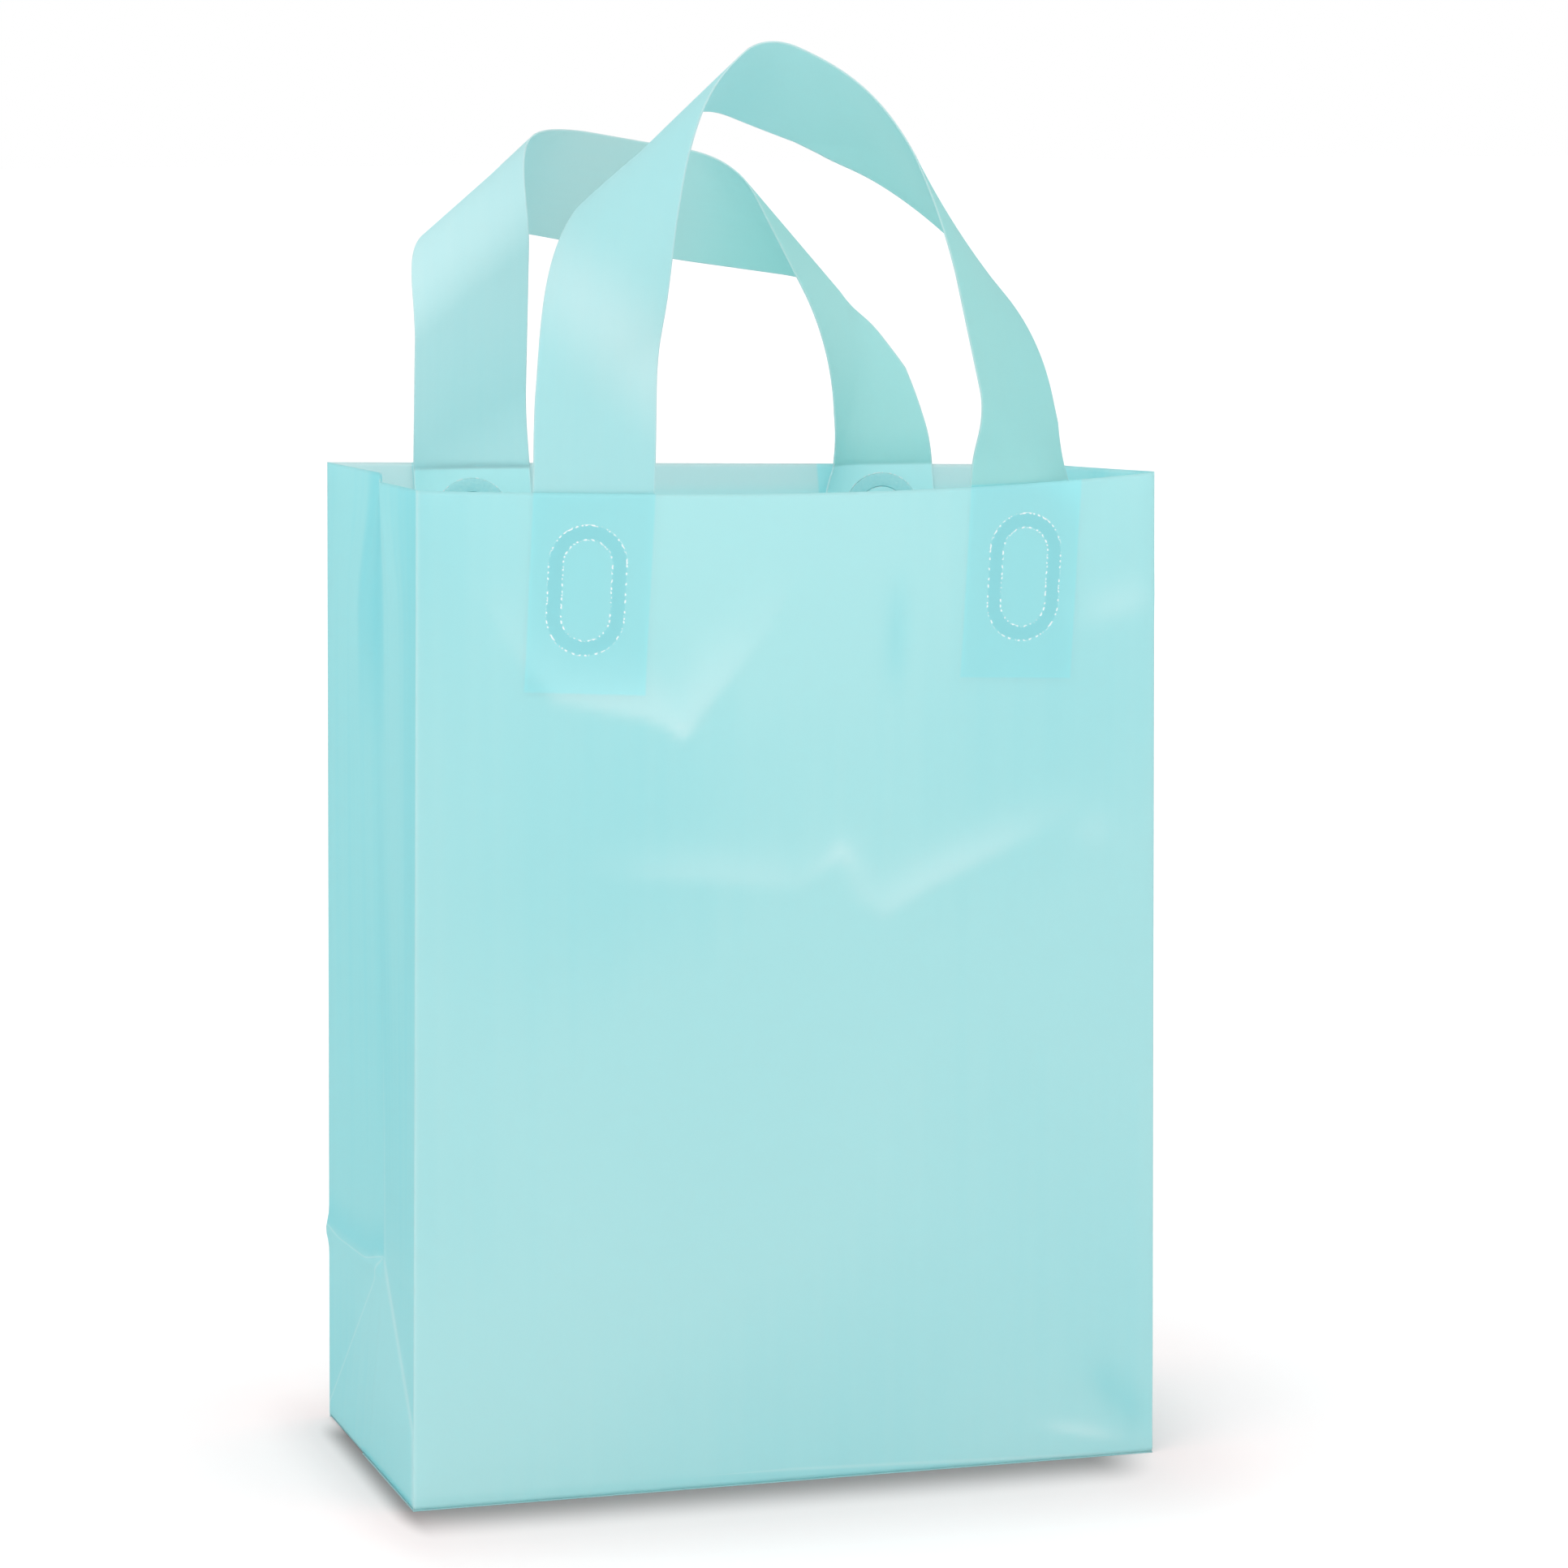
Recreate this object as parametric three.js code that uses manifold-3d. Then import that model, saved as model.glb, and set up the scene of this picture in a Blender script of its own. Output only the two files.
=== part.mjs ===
// Plastic carrier bag, soft-loop type: one gusseted tube of frosted film with a square
// folded base, and two loop handles of flat film strip heat-welded inside the mouth.
// Millimetres, +Z up, +X to the right, front panel facing -Y, origin at the centre of the base.
import * as THREE from 'three';
import { mergeVertices } from 'three/addons/utils/BufferGeometryUtils.js';
import Module from 'manifold-3d';

// Driving sizes
const bagWidth = 254;
const bagDepth = 127;
const bagHeight = 330;
const film = 0.5;
const weldGap = 0.3;

// the open mouth: a little narrower and deeper than the base, front bowed out, rear slack
const mouthNarrow = 0.972;
const mouthDeep = 1.04;
const frontBow = 8;
const frontSag = 3.4;
const frontSagSkew = 0.3;
const rearPinch = 38;
const rearDropLeft = 1.4;
const rearDropRight = 4.9;
const rearShift = 4;
const mouthReach = 0.55;

// folds left in the film: the tuck of the gussets, the small pleat at the top of the left one,
// which swells out near the front and dips in behind the middle, and the crease at fold height
const gussetTuck = 4.5;
const tuckLossAtMouth = 0.75;
const pleatCrest = 0.3;
const pleatCrestOut = 3.8;
const pleatValley = 0.59;
const pleatValleyIn = 5;
const pleatRise = 0.14;
const creaseRidge = 1.6;
const creaseReach = 7;
const panelSoftness = 1.6;

// the folded base: how far each flap runs past the centre line, and the top of the flaps
const flapOverlap = 12;
const flapTop = 1.1;

// handle strips
const stripWidth = 39;
const stripFilm = 0.5;
const weldLength = 65;
const ringDrop = 32;
const ringHeight = 43;
const ringWidth = 25;
const ringBand = 4.6;
const ringBevel = 0.9;
const ringSink = 0.12;
const ringRaise = 0.28;

// fineness of the grids, and the share of a loop's length over which its two legs merge
const finerBelowMouth = 70;
const stripRows = 72;
const stripColumns = 6;
const ringSteps = 28;
const crossingBlend = 0.32;

// Each loop is a flat strip that is rolled over on slanted lines. A roll starts at a height above
// the mouth, measured along the strip's middle, and has an arc, both as shares of the loop's
// length, the slant of its line in degrees (0 is square to the strip, positive climbs towards the
// loop's middle) and a turn in degrees, positive towards the rear. The first roll of each leg is
// its lean. A loop's length runs from mouth to mouth, and its centre is a place along the mouth.
const frontLoopLength = 333;
const frontLegSpacing = 145;
const frontLoopCentre = 6;
const rearLoopLength = 305;
const rearLegSpacing = 136;
const rearLoopCentre = -8;

const frontHandle = {
  centre: frontLoopCentre,
  legSpacing: frontLegSpacing,
  length: frontLoopLength,
  left: {
    tilt: 3,
    rolls: [
      { start: -0.009, slant: 0, arc: 0.036, turn: 7 },
      { start: 0.06, slant: 31, arc: 0.045, turn: -27 },
      { start: 0.27, slant: -68, arc: 0.06, turn: -7 },
      { start: 0.09, slant: 52, arc: 0.18, turn: 124 },
      { start: 0.45, slant: 9, arc: 0.06, turn: 68 },
    ],
  },
  right: {
    tilt: -3,
    rolls: [
      { start: -0.009, slant: 0, arc: 0.036, turn: -29 },
      { start: -0.006, slant: 40, arc: 0.036, turn: 55 },
      { start: 0.201, slant: 7, arc: 0.105, turn: -18 },
      { start: 0.135, slant: 47, arc: 0.207, turn: 116 },
      { start: 0.492, slant: -14, arc: 0.06, turn: 67 },
    ],
  },
};

const rearHandle = {
  centre: rearLoopCentre,
  legSpacing: rearLegSpacing,
  length: rearLoopLength,
  left: {
    tilt: -4,
    rolls: [
      { start: -0.01, slant: 0, arc: 0.039, turn: -1 },
      { start: -0.016, slant: 28, arc: 0.049, turn: -18 },
      { start: 0.226, slant: 0, arc: 0.072, turn: 3 },
      { start: 0.187, slant: 38, arc: 0.184, turn: 174 },
      { start: 0.262, slant: 49, arc: 0.157, turn: 24 },
    ],
  },
  right: {
    tilt: 5,
    rolls: [
      { start: -0.01, slant: 0, arc: 0.039, turn: 29 },
      { start: -0.003, slant: -60, arc: 0.049, turn: -61 },
      { start: -0.013, slant: 0, arc: 0.2, turn: 36 },
      { start: 0.23, slant: 50, arc: 0.072, turn: 109 },
      { start: 0.551, slant: -37, arc: 0.066, turn: 43 },
    ],
  },
};

const frosted = { color: 0xa9e2e4, roughness: 0.42, metalness: 0 };
const loopFilm = { color: 0xa4e1e3, roughness: 0.38, metalness: 0 };

// Small helpers
const mix = (a, b, k) => a + (b - a) * k;
const clamp01 = (x) => Math.min(1, Math.max(0, x));
const smooth = (x) => {
  const k = clamp01(x);
  return k * k * (3 - 2 * k);
};
const rad = (deg) => (deg * Math.PI) / 180;

// Shape of the bag's wall
// share of the mouth's shape that is felt at height z
const mouthShare = (z) => smooth((z / bagHeight - 1 + mouthReach) / mouthReach);

const halfWidth = (z) => (bagWidth / 2) * mix(1, mouthNarrow, z / bagHeight);
const halfDepth = (z) => (bagDepth / 2) * mix(1, mouthDeep, z / bagHeight);

// y of the front panel's outer face at a fraction a of the width, from the left
const frontY = (a, z) => -halfDepth(z)
  - frontBow * mouthShare(z) * Math.sin(Math.PI * clamp01(a)) ** 2
  - panelSoftness * Math.sin(Math.PI * clamp01(a)) * Math.sin(Math.PI * z / bagHeight);

// y of the rear panel's outer face; its right end is drawn forward at the mouth
const rearY = (a, z) => halfDepth(z) - rearPinch * a * mouthShare(z)
  + creaseRidge * ridge(z) * Math.sin(Math.PI * clamp01(a)) ** 0.5;

// small ridge left by the crease that goes round the rear half at base-fold height
const foldHeight = bagDepth / 2;
const ridge = (z) => Math.max(0, 1 - Math.abs(z - foldHeight) / creaseReach);

// how far the panels sink at the mouth, the front one in its middle, the rear one to the right
const frontDrop = (a, z) => frontSag * mouthShare(z) * Math.sin(Math.PI * a) ** 0.7
  * mix(1 - frontSagSkew, 1 + frontSagSkew, a);
const rearDrop = (a, z) => mouthShare(z) * mix(rearDropLeft, rearDropRight, a);

// inward tuck of a gusset; v is 0 on its centre crease and 1 at its vertical edges. The lowest
// part is one flat triangle that stands on the base and ends at the foot of the centre crease
const tuck = (v, z) => {
  const up = clamp01(z / foldHeight);
  const fade = 1 - tuckLossAtMouth * smooth((z - foldHeight) / (bagHeight - foldHeight));
  return gussetTuck * Math.min(up, 1 - v) * (up < 1 ? 1 : fade);
};

// points of one horizontal loop of the wall, as functions of side, fraction and height
const frontPoint = (a, z) => [mix(-1, 1, a) * halfWidth(z), frontY(a, z), z - frontDrop(a, z)];

const rearPoint = (a, z) => {
  const x = mix(-1, 1, a) * halfWidth(z) - rearShift * a * mouthShare(z);
  return [x, rearY(a, z), z - rearDrop(a, z)];
};

// b runs from the front edge to the rear edge of a gusset
const gussetPoint = (side, b, z) => {
  const front = frontPoint(side < 0 ? 0 : 1, z);
  const rear = rearPoint(side < 0 ? 0 : 1, z);
  const v = Math.abs(2 * b - 1);
  const base = mix(front[0], rear[0], b);
  let out = -tuck(v, z);
  if (side < 0) out += pleat(b, z);
  if (b > 0.5) out += creaseRidge * ridge(z) * mix(0.9, 0.6, v);
  return [base + side * out, mix(front[1], rear[1], b), mix(front[2], rear[2], b)];
};

// the small pleat at the top of the left gusset
const pleat = (b, z) => {
  const share = smooth((z / bagHeight - 1 + pleatRise) / pleatRise);
  if (b < pleatCrest) return pleatCrestOut * share * (b / pleatCrest);
  if (b > pleatValley) return -pleatValleyIn * share * ((1 - b) / (1 - pleatValley));
  return share * mix(pleatCrestOut, -pleatValleyIn, (b - pleatCrest) / (pleatValley - pleatCrest));
};

// Grids turned into closed bodies
const addQuad = (index, a, b, c, d) => {
  index.push(a, b, c, a, c, d);
};

const meshOf = (positions, index) => {
  const geometry = new THREE.BufferGeometry();
  geometry.setAttribute('position', new THREE.Float32BufferAttribute(positions.flat(), 3));
  geometry.setIndex(index);
  return geometry;
};

const spaced = (from, to, count) => Array.from({ length: count }, (_, i) => mix(from, to, i / count));

// stations round the bag: front left to right, right gusset, rear right to left, left gusset
const stations = [
  ...spaced(0, 1, 20).map((a) => (z) => frontPoint(a, z)),
  ...spaced(0, 1, 8).map((b) => (z) => gussetPoint(1, b, z)),
  ...spaced(1, 0, 20).map((a) => (z) => rearPoint(a, z)),
  ...spaced(1, pleatValley, 3).map((b) => (z) => gussetPoint(-1, b, z)),
  (z) => gussetPoint(-1, pleatValley, z),
  ...spaced(0.5, pleatCrest, 2).map((b) => (z) => gussetPoint(-1, b, z)),
  ...spaced(pleatCrest, 0, 3).map((b) => (z) => gussetPoint(-1, b, z)),
];

// heights of the rows, closer together at the crease and near the mouth
const levels = [
  ...spaced(2 * film, foldHeight - creaseReach, 4),
  ...spaced(foldHeight - creaseReach, foldHeight + creaseReach, 4),
  ...spaced(foldHeight + creaseReach, bagHeight - finerBelowMouth, 8),
  ...spaced(bagHeight - finerBelowMouth, bagHeight, 7),
  bagHeight,
];

// inward normal of the loop at one station, level with the floor
const inward = (loop, i) => {
  const before = loop[(i + loop.length - 1) % loop.length];
  const after = loop[(i + 1) % loop.length];
  const dx = after[0] - before[0];
  const dy = after[1] - before[1];
  const size = Math.hypot(dx, dy);
  return [-dy / size, dx / size];
};

function wallShell() {
  const count = stations.length;
  const outer = levels.map((z) => stations.map((at) => at(z)));
  const inner = outer.map((loop) => loop.map((p, i) => {
    const [nx, ny] = inward(loop, i);
    return [p[0] + film * nx, p[1] + film * ny, p[2]];
  }));
  inner[0] = inner[0].map((p) => [p[0], p[1], p[2] + film]);
  const positions = [...outer.flat(), ...inner.flat()];
  const index = [];
  const rows = levels.length;
  const at = (layer, j, i) => layer * rows * count + j * count + (i % count);
  for (let j = 0; j < rows - 1; j += 1) {
    for (let i = 0; i < count; i += 1) {
      addQuad(index, at(0, j, i), at(0, j, i + 1), at(0, j + 1, i + 1), at(0, j + 1, i));
      addQuad(index, at(1, j, i + 1), at(1, j, i), at(1, j + 1, i), at(1, j + 1, i + 1));
    }
  }
  for (let i = 0; i < count; i += 1) {
    addQuad(index, at(0, rows - 1, i), at(0, rows - 1, i + 1), at(1, rows - 1, i + 1), at(1, rows - 1, i));
  }
  closeBase(positions, index, (i) => at(0, 0, i), count, 2 * film, -1);
  closeBase(positions, index, (i) => at(1, 0, i), count, 3 * film, 1);
  return meshOf(positions, index);
}

// flat base sheet, as a fan about its centre
function closeBase(positions, index, ring, count, z, facing) {
  const centre = positions.push([0, 0, z]) - 1;
  for (let i = 0; i < count; i += 1) {
    const pair = facing < 0 ? [ring(i + 1), ring(i)] : [ring(i), ring(i + 1)];
    index.push(centre, pair[0], pair[1]);
  }
}

// folded base flaps seen from below: each has its outer corners on the bag's corners
// and runs inward at 45 degrees, past the centre line by the overlap
const flap = (side, low, high) => {
  const reach = bagDepth / 2 + flapOverlap;
  const shape = new THREE.Shape();
  shape.moveTo(-bagWidth / 2, side * bagDepth / 2);
  shape.lineTo(-bagWidth / 2 + reach, -side * flapOverlap);
  shape.lineTo(bagWidth / 2 - reach, -side * flapOverlap);
  shape.lineTo(bagWidth / 2, side * bagDepth / 2);
  shape.closePath();
  const slab = new THREE.ExtrudeGeometry(shape, { depth: high - low, bevelEnabled: false });
  slab.translate(0, 0, low);
  return slab;
};

// Joins
const wasm = await Module();
wasm.setup();

const solidOf = (geometry) => {
  const bare = geometry.clone();
  bare.deleteAttribute('normal');
  bare.deleteAttribute('uv');
  const joined = mergeVertices(bare, 1e-4);
  return new wasm.Manifold(new wasm.Mesh({
    numProp: 3,
    vertProperties: new Float32Array(joined.attributes.position.array),
    triVerts: new Uint32Array(joined.index.array),
  }));
};

const geometryOf = (solid) => {
  const mesh = solid.getMesh();
  const geometry = new THREE.BufferGeometry();
  geometry.setAttribute('position', new THREE.Float32BufferAttribute(mesh.vertProperties, 3));
  geometry.setIndex(new THREE.Uint32BufferAttribute(mesh.triVerts, 1));
  geometry.computeVertexNormals();
  return geometry;
};

const namedMesh = (name, geometry, look) => {
  const mesh = new THREE.Mesh(geometry, new THREE.MeshStandardMaterial(look));
  mesh.name = name;
  return mesh;
};

function bagBody() {
  const wall = solidOf(wallShell());
  const frontFlap = solidOf(flap(-1, 0, flapTop));
  const rearFlap = solidOf(flap(1, film, flapTop));
  return geometryOf(wall.add(frontFlap).add(rearFlap));
}

// Handles
// rolls space about a slanted line: points past the line are wound round a cylinder for the
// arc's length and go on straight after it
const rollOver = (p, roll, length) => {
  const start = roll.start * length;
  const arc = roll.arc * length;
  const slant = rad(roll.slant);
  const turn = rad(roll.turn);
  const nx = -Math.sin(slant);
  const ny = Math.cos(slant);
  const past = p[0] * nx + (p[1] - start) * ny;
  if (past <= 0) return p;
  const along = p[0] * ny - (p[1] - start) * nx;
  const radius = arc / turn;
  const angle = Math.min(1, past / arc) * turn;
  const rest = Math.max(0, past - arc);
  const over = (radius - p[2]) * Math.sin(angle) + rest * Math.cos(angle);
  const back = radius - (radius - p[2]) * Math.cos(angle) + rest * Math.sin(angle);
  return [along * ny + over * nx, start - along * nx + over * ny, back];
};

// one leg of a loop with everything beyond it: across is measured towards the loop's middle,
// up from the mouth, lift through the film; below the mouth the strip lies along its panel
const legPoint = (loop, side, panel, across, up, lift) => {
  const leg = side < 0 ? loop.left : loop.right;
  const flat = [across, up, lift];
  const p = leg.rolls.reduceRight((point, roll) => rollOver(point, roll, loop.length), flat);
  const tilt = rad(leg.tilt);
  const middle = loop.centre + (side * loop.legSpacing) / 2;
  const x = middle - side * (p[0] * Math.cos(tilt) + p[1] * Math.sin(tilt));
  const z = bagHeight + p[1] * Math.cos(tilt) - p[0] * Math.sin(tilt);
  const foot = up > 0 ? panel(middle - side * across * Math.cos(tilt), bagHeight) : panel(x, z);
  return [x, foot + p[2], z];
};

// y of a strip's outer face where it lies against its panel
const againstFront = (x, z) => {
  const a = x / (2 * halfWidth(z)) + 0.5;
  return frontY(a, z + frontDrop(a, z)) + film + weldGap;
};

const againstRear = (x, z) => {
  const a = (x + halfWidth(z)) / (2 * halfWidth(z) - rearShift * mouthShare(z));
  return rearY(a, z + rearDrop(a, z)) - film - weldGap - stripFilm;
};

// point of a loop at length s from the left mouth crossing; the two legs are worked out on
// their own and meet over the middle of the loop
const loopPoint = (loop, panel, s, across, lift) => {
  const k = smooth((s / loop.length - 0.5) / crossingBlend + 0.5);
  const left = legPoint(loop, -1, panel, across, s, lift);
  const right = legPoint(loop, 1, panel, across, loop.length - s, lift);
  return left.map((value, i) => mix(value, right[i], k));
};

// closed strip: a grid on each face, joined along the edges and at the two cut ends
function stripShell(loop, panel) {
  const positions = [];
  for (const lift of [0, stripFilm]) {
    for (let j = 0; j <= stripRows; j += 1) {
      const s = mix(-weldLength, loop.length + weldLength, j / stripRows);
      for (let i = 0; i <= stripColumns; i += 1) {
        const across = mix(-stripWidth / 2, stripWidth / 2, i / stripColumns);
        positions.push(loopPoint(loop, panel, s, across, lift));
      }
    }
  }
  const row = stripColumns + 1;
  const at = (layer, j, i) => layer * row * (stripRows + 1) + j * row + i;
  const index = [];
  for (let j = 0; j < stripRows; j += 1) {
    for (let i = 0; i < stripColumns; i += 1) {
      addQuad(index, at(0, j, i), at(0, j, i + 1), at(0, j + 1, i + 1), at(0, j + 1, i));
      addQuad(index, at(1, j, i), at(1, j + 1, i), at(1, j + 1, i + 1), at(1, j, i + 1));
    }
    addQuad(index, at(0, j, 0), at(0, j + 1, 0), at(1, j + 1, 0), at(1, j, 0));
    const e = stripColumns;
    addQuad(index, at(0, j, e), at(1, j, e), at(1, j + 1, e), at(0, j + 1, e));
  }
  for (let i = 0; i < stripColumns; i += 1) {
    const e = stripRows;
    addQuad(index, at(0, 0, i), at(1, 0, i), at(1, 0, i + 1), at(0, 0, i + 1));
    addQuad(index, at(0, e, i), at(0, e, i + 1), at(1, e, i + 1), at(1, e, i));
  }
  return meshOf(positions, index);
}

// oval weld ring standing on the free face of one strip end; round the oval by angle
function weldRing(loop, side, panel, inwards) {
  const straight = (ringHeight - ringWidth) / 2;
  const section = [
    [0, -ringSink],
    [ringBand, -ringSink],
    [ringBand - ringBevel, ringRaise],
    [ringBevel, ringRaise],
  ];
  const positions = [];
  for (let i = 0; i < ringSteps; i += 1) {
    const angle = (2 * Math.PI * i) / ringSteps;
    for (const [inset, height] of section) {
      const r = ringWidth / 2 - inset;
      const across = r * Math.cos(angle);
      const up = r * Math.sin(angle) + Math.sign(Math.sin(angle)) * straight - ringDrop;
      const lift = inwards > 0 ? stripFilm + height : -height;
      positions.push(legPoint(loop, side, panel, across, up, lift));
    }
  }
  const index = [];
  const m = section.length;
  for (let i = 0; i < ringSteps; i += 1) {
    const next = (i + 1) % ringSteps;
    for (let k = 0; k < m; k += 1) {
      const l = (k + 1) % m;
      addQuad(index, i * m + k, i * m + l, next * m + l, next * m + k);
    }
  }
  return meshOf(positions, index);
}

// a solid whose grid was wound the wrong way round is turned
const outwardSolid = (geometry) => {
  const flipped = geometry.clone();
  const order = flipped.index.array;
  const p = geometry.attributes.position;
  let volume = 0;
  const [a, b, c] = [new THREE.Vector3(), new THREE.Vector3(), new THREE.Vector3()];
  for (let i = 0; i < order.length; i += 3) {
    a.fromBufferAttribute(p, order[i]);
    b.fromBufferAttribute(p, order[i + 1]);
    c.fromBufferAttribute(p, order[i + 2]);
    volume += a.dot(b.cross(c));
  }
  if (volume < 0) {
    for (let i = 0; i < order.length; i += 3) {
      [order[i + 1], order[i + 2]] = [order[i + 2], order[i + 1]];
    }
  }
  return solidOf(flipped);
};

function handle(loop, panel, inwards) {
  let strip = outwardSolid(stripShell(loop, panel));
  for (const side of [-1, 1]) {
    strip = strip.add(outwardSolid(weldRing(loop, side, panel, inwards)));
  }
  return geometryOf(strip);
}

// Assembly
const bag = new THREE.Group();
bag.name = 'plastic_carrier_bag';
bag.add(namedMesh('bag_body', bagBody(), frosted));
bag.add(namedMesh('front_handle', handle(frontHandle, againstFront, 1), loopFilm));
bag.add(namedMesh('rear_handle', handle(rearHandle, againstRear, -1), loopFilm));

export default bag;
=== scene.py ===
import math
from collections import namedtuple
from functools import partial, partialmethod

import bpy
import numpy as np
from bpy.props import FloatProperty, FloatVectorProperty, PointerProperty
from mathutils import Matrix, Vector


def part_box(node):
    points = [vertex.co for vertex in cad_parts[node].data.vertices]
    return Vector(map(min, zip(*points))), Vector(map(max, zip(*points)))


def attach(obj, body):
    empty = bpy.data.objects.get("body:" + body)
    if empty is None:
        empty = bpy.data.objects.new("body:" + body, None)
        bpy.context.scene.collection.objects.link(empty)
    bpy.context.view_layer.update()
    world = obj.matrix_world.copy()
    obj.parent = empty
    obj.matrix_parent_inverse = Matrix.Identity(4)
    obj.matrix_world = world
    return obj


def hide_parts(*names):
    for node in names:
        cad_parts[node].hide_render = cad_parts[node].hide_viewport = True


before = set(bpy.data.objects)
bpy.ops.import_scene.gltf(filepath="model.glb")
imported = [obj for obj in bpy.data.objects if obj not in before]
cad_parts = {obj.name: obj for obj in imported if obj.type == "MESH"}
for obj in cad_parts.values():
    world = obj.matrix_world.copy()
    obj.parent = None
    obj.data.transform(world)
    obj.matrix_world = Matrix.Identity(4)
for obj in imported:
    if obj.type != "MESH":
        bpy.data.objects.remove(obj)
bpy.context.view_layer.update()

# Looks of a soft-loop plastic carrier bag: a gusseted tube of frosted film with a folded base, and
# two loops of flat strip welded inside the mouth. Sizes are in metres, +X runs to the right, -Y out
# of the front panel and +Z up, and the origin is the base's centre.

bl_info = {
    "name": "Film Carrier Bag",
    "version": (1, 0, 0),
    "blender": (4, 5, 0),
    "location": "3D View > Sidebar > Carrier Bag",
    "description": "Builds a frosted film carrier bag with soft loop handles",
    "category": "Add Mesh",
}

MM = 0.001
body_low, body_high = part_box("bag_body")
BAG_WIDTH = 2 * body_high.x
BAG_HEIGHT = body_high.z


# Small maths


def mix(a, b, k):
    """Value that goes from a to b as k goes from 0 to 1."""
    return a + (b - a) * k


def smooth(x):
    """Smooth step: 0 up to 0, 1 from 1 on, level at both ends."""
    k = np.clip(x, 0, 1)
    return k * k * (3 - 2 * k)


def ramp(x, low, high):
    """Smooth change from 0 at low to 1 at high, which may be the smaller one."""
    return smooth((x - low) / (high - low))


def bell(x, width):
    """Rounded hump: 1 at 0, falling to about a third at the given width."""
    return np.exp(-((x / width) ** 2))


def arch(a):
    """Half a wave: 0 at 0 and 1, and 1 halfway."""
    return np.sin(np.pi * np.clip(a, 0, 1))


def crowded(count, share=0.75):
    """Fractions from 0 to 1 that stand closer together towards both ends."""
    t = np.linspace(0, 1, count)
    return mix(t, 0.5 - 0.5 * np.cos(np.pi * t), share)


# Sizes and colours that a user would change


def length(name, description, default):
    return FloatProperty(name=name, description=description, default=default, unit="LENGTH")


def colour(name, description, default):
    return FloatVectorProperty(
        name=name, description=description, default=default, subtype="COLOR", size=3, min=0, max=1
    )


def portion(name, description, default):
    return FloatProperty(name=name, description=description, default=default, min=0, max=1)


class BagSizes(bpy.types.PropertyGroup):
    width: length("Width", "Width of the base", BAG_WIDTH)
    depth: length("Depth", "Depth of the base", 127 * MM)
    height: length("Height", "Height of the mouth", BAG_HEIGHT)
    film: length("Film", "Thickness of the film", 0.5 * MM)
    fold_height: length("Fold height", "Height of the crease left by the folded base", 66 * MM)
    front_bow: length("Front bow", "How far the front panel bows out at the mouth", 8 * MM)
    rear_pinch: length("Rear pinch", "How far the rear panel's right end is drawn forward", 38 * MM)
    gusset_tuck: length("Gusset tuck", "How far the gussets dip in along their middle", 4.5 * MM)


class LoopSizes(bpy.types.PropertyGroup):
    strip_width: length("Strip width", "Width of the strips", 39 * MM)
    strip_film: length("Strip film", "Thickness of the strips", 0.5 * MM)
    weld_length: length("Weld length", "Length of strip below the mouth", 66 * MM)
    front_length: length("Front loop", "Length of the front loop from mouth to mouth", 333 * MM)
    rear_length: length("Rear loop", "Length of the rear loop from mouth to mouth", 305 * MM)
    ring_width: length("Weld width", "Width of the oval welds", 25 * MM)
    ring_height: length("Weld height", "Height of the oval welds", 41.5 * MM)
    ring_band: length("Weld band", "Width of the welded band", 4.6 * MM)
    ring_drop: length("Weld drop", "Middle of the oval welds below the mouth", 33 * MM)


class FilmLooks(bpy.types.PropertyGroup):
    panel_colour: colour("Panel colour", "Colour of the bag's film", (0.66, 0.943, 0.947))
    gusset_colour: colour("Gusset colour", "Colour of the film at the sides", (0.505, 0.89, 0.915))
    strip_colour: colour("Strip colour", "Colour of the loops' film", (0.585, 0.86, 0.875))
    # Painted shade: the loops' film goes to this deeper colour towards their right legs.
    painted_shade_colour: colour(
        "Far strip colour", "Colour of the loops' film towards their right legs", (0.48, 0.80, 0.77)
    )
    strip_end_colour: colour(
        "Strip end colour", "Colour of the film where it lies on a strip's end", (0.36, 0.95, 1.0)
    )
    weld_colour: colour("Weld colour", "Colour of the welded bands", (0.305, 0.807, 0.871))
    film_through: colour("Film tint", "Colour of light through the bag's film", (0.64, 0.94, 0.95))
    strip_through: colour("Strip tint", "Colour of light through the loops' film", (0.70, 0.95, 0.955))
    frosting: portion("Frosting", "Roughness of the film", 0.45)
    clearness: portion("Clearness", "Share of light that goes through the film", 0.5)


class StageSettings(bpy.types.PropertyGroup):
    sky_light: portion("Sky light", "Light from all round", 0.95)
    sky_slope: portion(
        "Sky slope", "How much brighter the light is from the upper left front", 0.24
    )
    key_power: FloatProperty(
        name="Key light", description="Power of the large soft lamp", default=5, unit="POWER"
    )
    floor_size: length("Floor size", "Side of the floor", 30)


# Shape of the bag's wall

MOUTH_NARROW = 0.972
MOUTH_DEEP = 1.04
MOUTH_REACH = 0.55
FRONT_SAG = 3.4 * MM
FRONT_SAG_SKEW = 0.3
REAR_DROP_LEFT = 1.4 * MM
REAR_DROP_RIGHT = 4.9 * MM
REAR_SHIFT = 4 * MM
TUCK_LOSS_AT_MOUTH = 0.75
PANEL_SOFTNESS = 1.6 * MM
HEM_HEIGHT = 4.2 * MM
HEM_SLOPE = 0.03
HEM_EDGE = 0.8 * MM
CREASE_RIDGE = 1.8 * MM
CREASE_REACH = 4 * MM
CREASE_START = 0.04
CREASE_END = 0.04
GUSSET_CREASE = -3 * MM
APEX_RISE = 4 * MM
REAR_EDGE_RISE = 0.4
FOOT_START_FRONT = 25 * MM
FOOT_START_REAR = 5 * MM
FOOT_ROUNDING = 0.3 * MM
BASE_LIFT = 0.4 * MM
WELD_GAP = 0.3 * MM
WELD_OFFSET = 1 * MM
REAR_WELD_RISE = 5 * MM

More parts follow.
